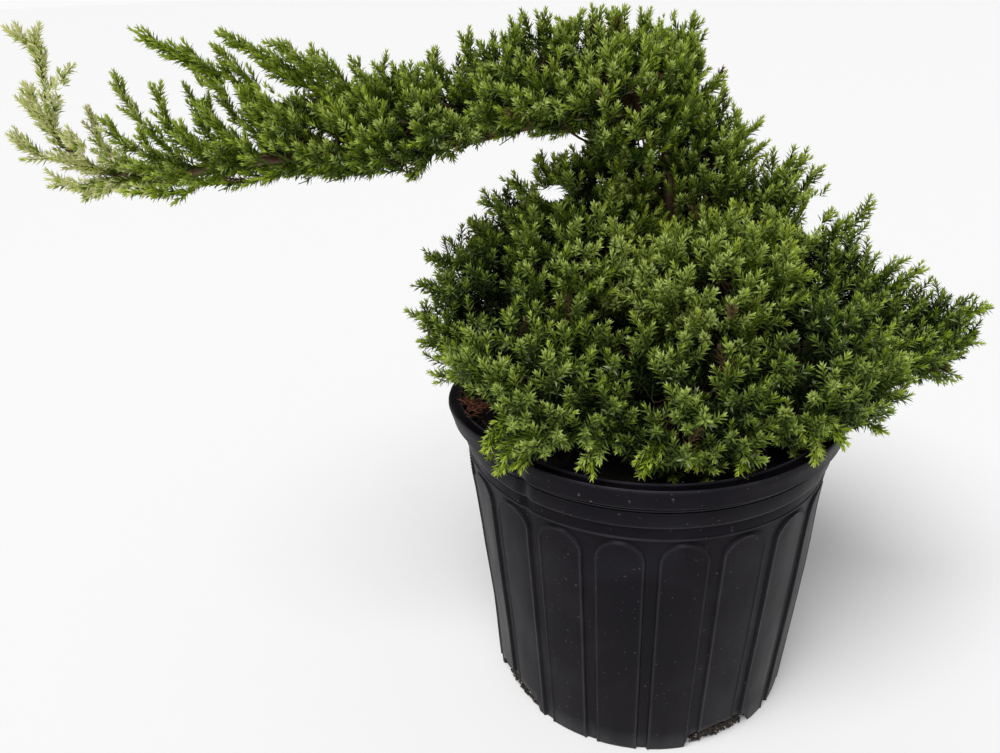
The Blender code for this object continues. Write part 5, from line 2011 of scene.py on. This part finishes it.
    def grow_spray(self, spray: Spray, rule: random.Random) -> None:
        """One long spray: a thin clad axis with short side shoots towards its tip.

        Args:
            spray: The spray.
            rule: Source of small differences.
        """
        path = smooth_path(spray.points, 6)
        if self.region is Region.ARM:
            path = [self.lifted(point) for point in path]
        self.shoots.append((path, *self.spray_radii))
        self.clothe(path, spray.brightness, rule, 0.04)
        count = round(lengths(path)[-1] / self.spray_pitch)
        directions = tangents(path)
        for number in range(count):
            t = 0.06 + 0.84 * (number + rule.uniform(-0.3, 0.3)) / count
            index = min(len(path) - 1, max(0, round(t * (len(path) - 1))))
            ahead = directions[index]
            around = square_to(ahead, GOLDEN_ANGLE * number + rule.uniform(-0.4, 0.4))
            way = (ahead * 0.95 + around * 0.50 + UP * 0.08).normalized()
            reach = rule.uniform(*self.spray_shoot) * (1.1 - 0.5 * t) * spray.fullness
            shoot = self.short_shoot(path[index], ahead, way, reach, 2, self.spray_shoot_radii)
            self.clothe(shoot, spray.brightness + 0.1 * t, rule, 0.10)

    def clad_arm(self, rule: random.Random) -> None:
        """Short shoots all along the outer arm, leaning towards its tip; some bark is left bare.

        Args:
            rule: Source of small differences.
        """
        arm = self.wood.arm
        directions = tangents(arm.path)
        at_length = self.clad_from
        number = 0
        while at_length < arm.spans[-1] - 0.003:
            index = max(i for i, span in enumerate(arm.spans) if span <= at_length)
            ahead = directions[index]
            around = square_to(ahead, number * GOLDEN_ANGLE + rule.uniform(-0.4, 0.4))
            foot = arm.path[index] + ahead * (at_length - arm.spans[index]) + around * arm.radii[index] * 0.7
            at_length += rule.uniform(*self.clad_pitch)
            number += 1
            if around.y < 0.3 and any(low < foot.x < high for low, high in self.bare_bark):
                continue
            way = (ahead * rule.uniform(0.85, 1.1) + around * 0.52 + UP * 0.12).normalized()
            shoot = self.short_shoot(foot, ahead, way, rule.uniform(*self.clad_shoot), 3, self.axis_radii)
            # Shoots on top of the arm get brighter needles and those beneath dimmer ones: painted light and shade.
            self.clothe(shoot, 0.30 + 0.14 * around.z, rule, 0.04)

    def kept(self, places: np.ndarray) -> np.ndarray:
        """True for whorls clear of the limbs, the pot and the gaps, and inside the part's box.

        Args:
            places: Whorls, one a row.

        Returns:
            A truth value for each.
        """
        keep = self.pot.clear(places, self.needle_gap)
        for limb in self.wood.limbs():
            keep &= limb.clearance(places) > self.limb_gap
        low, high = (np.array(corner) for corner in CAD_BOX)
        keep &= (places > low - self.past_box[0]).all(axis=1) & (places < high + self.past_box[1]).all(axis=1)
        return keep & ~self.in_opening(places) & (places[:, 2] > self.lowest(places)) & ~self.over_bark(places)

    def in_opening(self, places: np.ndarray) -> np.ndarray:
        """True for places in an opening."""
        return np.any([opening.holds(places) for opening in OPENINGS], axis=0)

    def over_bark(self, places: np.ndarray) -> np.ndarray:
        """True for whorls in front of the bare lengths of the arm, as seen from the camera.

        Args:
            places: Whorls, one a row.

        Returns:
            A truth value for each.
        """
        over = np.zeros(len(places), dtype=bool)
        if self.region is not Region.ARM:
            return over
        middle, half, sideways, upwards = 0.004, 0.0045, 0.22, 0.19
        line = sorted((point.x, point.z) for point in self.wood.arm.path)
        y = places[:, 1] - middle
        x = places[:, 0] + sideways * y
        height = places[:, 2] + upwards * y - np.interp(x, [p for p, _ in line], [z for _, z in line])
        for low, high in self.bare_bark:
            over |= (x > low) & (x < high) & (np.abs(height + 0.001) < half) & (y < 0.0)
        return over

    def lowest(self, places: np.ndarray) -> np.ndarray:
        """Height of the arm's lower outline at each place: it rises to both sides and towards the neck.

        Args:
            places: Points, one a row.

        Returns:
            The heights, 0 away from the arm.
        """
        line = [x for x, _ in self.underside]
        floor = np.interp(places[:, 0], line, [z for _, z in self.underside]) + 0.5 * np.abs(places[:, 1])
        under = (places[:, 0] < line[-1]) & (places[:, 0] > line[0]) & (self.region in (Region.ARM, Region.HEAD))
        return np.where(under, floor, 0.0)

    def lifted(self, point: Vector) -> Vector:
        """The point, raised where it lies under the arm's lower outline or too low over the rim.

        Args:
            point: The point.

        Returns:
            The raised point.
        """
        if self.region is Region.MOUND:
            low = RimLine().height(point)
        else:
            low = float(self.lowest(as_array([point]))[0]) + 0.003
        return Vector((point.x, point.y, max(point.z, low)))

    def dress(self, whorls: Whorls, tubes: TwigTubes) -> None:
        """Turn the grown rows into pieces, one for each colour, and hand them over.

        Args:
            whorls: What places the needles.
            tubes: What makes the twigs.
        """
        nodes = self.region.nodes()
        label = self.region.name.lower()
        rows = np.array(self.rows)
        keep = self.kept(rows[:, :3])
        tints = np.array([tint.name for tint in self.tints])
        for tint in Tint:
            chosen = rows[keep & (tints == tint.name)]
            for number, part in enumerate(np.array_split(chosen, max(1, math.ceil(len(chosen) / self.piece_limit)))):
                if len(part):
                    name = f"{label}_needles_{tint.name.lower()}" + (f"_{number + 1}" if number else "")
                    hand_over(whorls.place(name, part, NeedleFinish(tint)), nodes)
        for kind, strands, sides, colour in (("twigs", self.twigs, 4, (0.050, 0.030, 0.014)),
                                             ("shoots", self.shoots, 3, (0.060, 0.085, 0.016)),
                                             ("litter", self.litter, 3, (0.150, 0.060, 0.036))):
            strands = [strand for strand in strands if not self.in_opening(as_array(strand[0])).any()]
            if strands:
                hand_over(tubes.build(f"{label}_{kind}", strands, sides, TwigFinish(f"{label} {kind}", colour)),
                          nodes)


@dataclass(frozen=True)
class Studio:
    """A pale floor, an even sky and a soft lamp far off."""

    floor_size: float = 60.0
    floor_drop: float = 0.0003
    floor_colour: Triple = (0.94, 0.94, 0.94)
    horizon: float = 0.96
    zenith: float = 0.22
    zenith_from: float = 0.45
    lamp_from: Triple = (-0.55, -0.75, 1.6)
    lamp_width: float = math.radians(40.0)
    lamp_strength: float = 2.75

    def build(self) -> None:
        """Build the floor, the world and the lamp."""
        half = self.floor_size / 2
        corners = [(x * half, y * half, -self.floor_drop) for x, y in ((-1, -1), (1, -1), (1, 1), (-1, 1))]
        floor = make_piece("floor", corners, [(0, 1, 2, 3)], Shader("floor", self.floor_colour, 0.9).material)
        bpy.context.scene.world = self.build_sky()
        data = bpy.data.lights.new("key", "SUN")
        data.angle, data.energy = self.lamp_width, self.lamp_strength
        lamp = bpy.data.objects.new("key", data)
        lamp.rotation_euler = (-Vector(self.lamp_from)).to_track_quat("-Z", "Y").to_euler()
        bpy.context.scene.collection.objects.link(lamp)
        bpy.context.scene.view_settings.view_transform = "Standard"

    def build_sky(self) -> bpy.types.World:
        """A grey sky, bright at the horizon and dim above.

        Returns:
            The world.
        """
        world = bpy.data.worlds.new("studio")
        world.use_nodes = True
        sky = NodeTree()
        sky.tree = world.node_tree
        split = sky.add("SeparateXYZ", Vector=sky.add("TexCoord").outputs["Generated"])
        height = sky.add("MapRange", Value=split.outputs["Z"], From_Max=self.zenith_from, To_Min=self.horizon,
                         To_Max=self.zenith)
        background = sky.tree.nodes["Background"]
        sky.put(height.outputs["Result"], background.inputs["Strength"])
        sky.put((1.0, 1.0, 1.0, 1.0), background.inputs["Color"])
        return world


def main() -> None:
    """Build every piece in order."""
    logging.basicConfig(level=logging.INFO, format="%(name)s %(message)s")
    shape = PotShape()
    Viewpoint().build()
    Studio().build()
    Pot(shape).build()
    PottingMix(shape).build()
    wood = Wood(shape)
    masses = spaces()
    for one in masses:
        if one.limb == "bough":
            wood.grow_bough(one)
    wood.dress("trunk_bark", [wood.trunk], 30, "bark", ["trunk"])
    wood.dress("arm_bark", [wood.arm], 20, "arm_bark", ["arm"])
    wood.dress("bough_bark", list(wood.boughs.values()), 12, "bark", [f"bough_{name}" for name in wood.boughs])
    whorls = Whorls()
    tubes = TwigTubes()
    for region in Region:
        foliage = Foliage(region, masses, wood, shape)
        foliage.grow()
        foliage.dress(whorls, tubes)
    whorls.clear()
    pieces = [item for item in bpy.data.objects if item.type == "MESH" and "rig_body" in item]
    for item in pieces:
        item.data.calc_loop_triangles()
    LOG.info("%d triangles", sum(len(item.data.loop_triangles) for item in pieces))


if __name__ == "__main__":
    main()
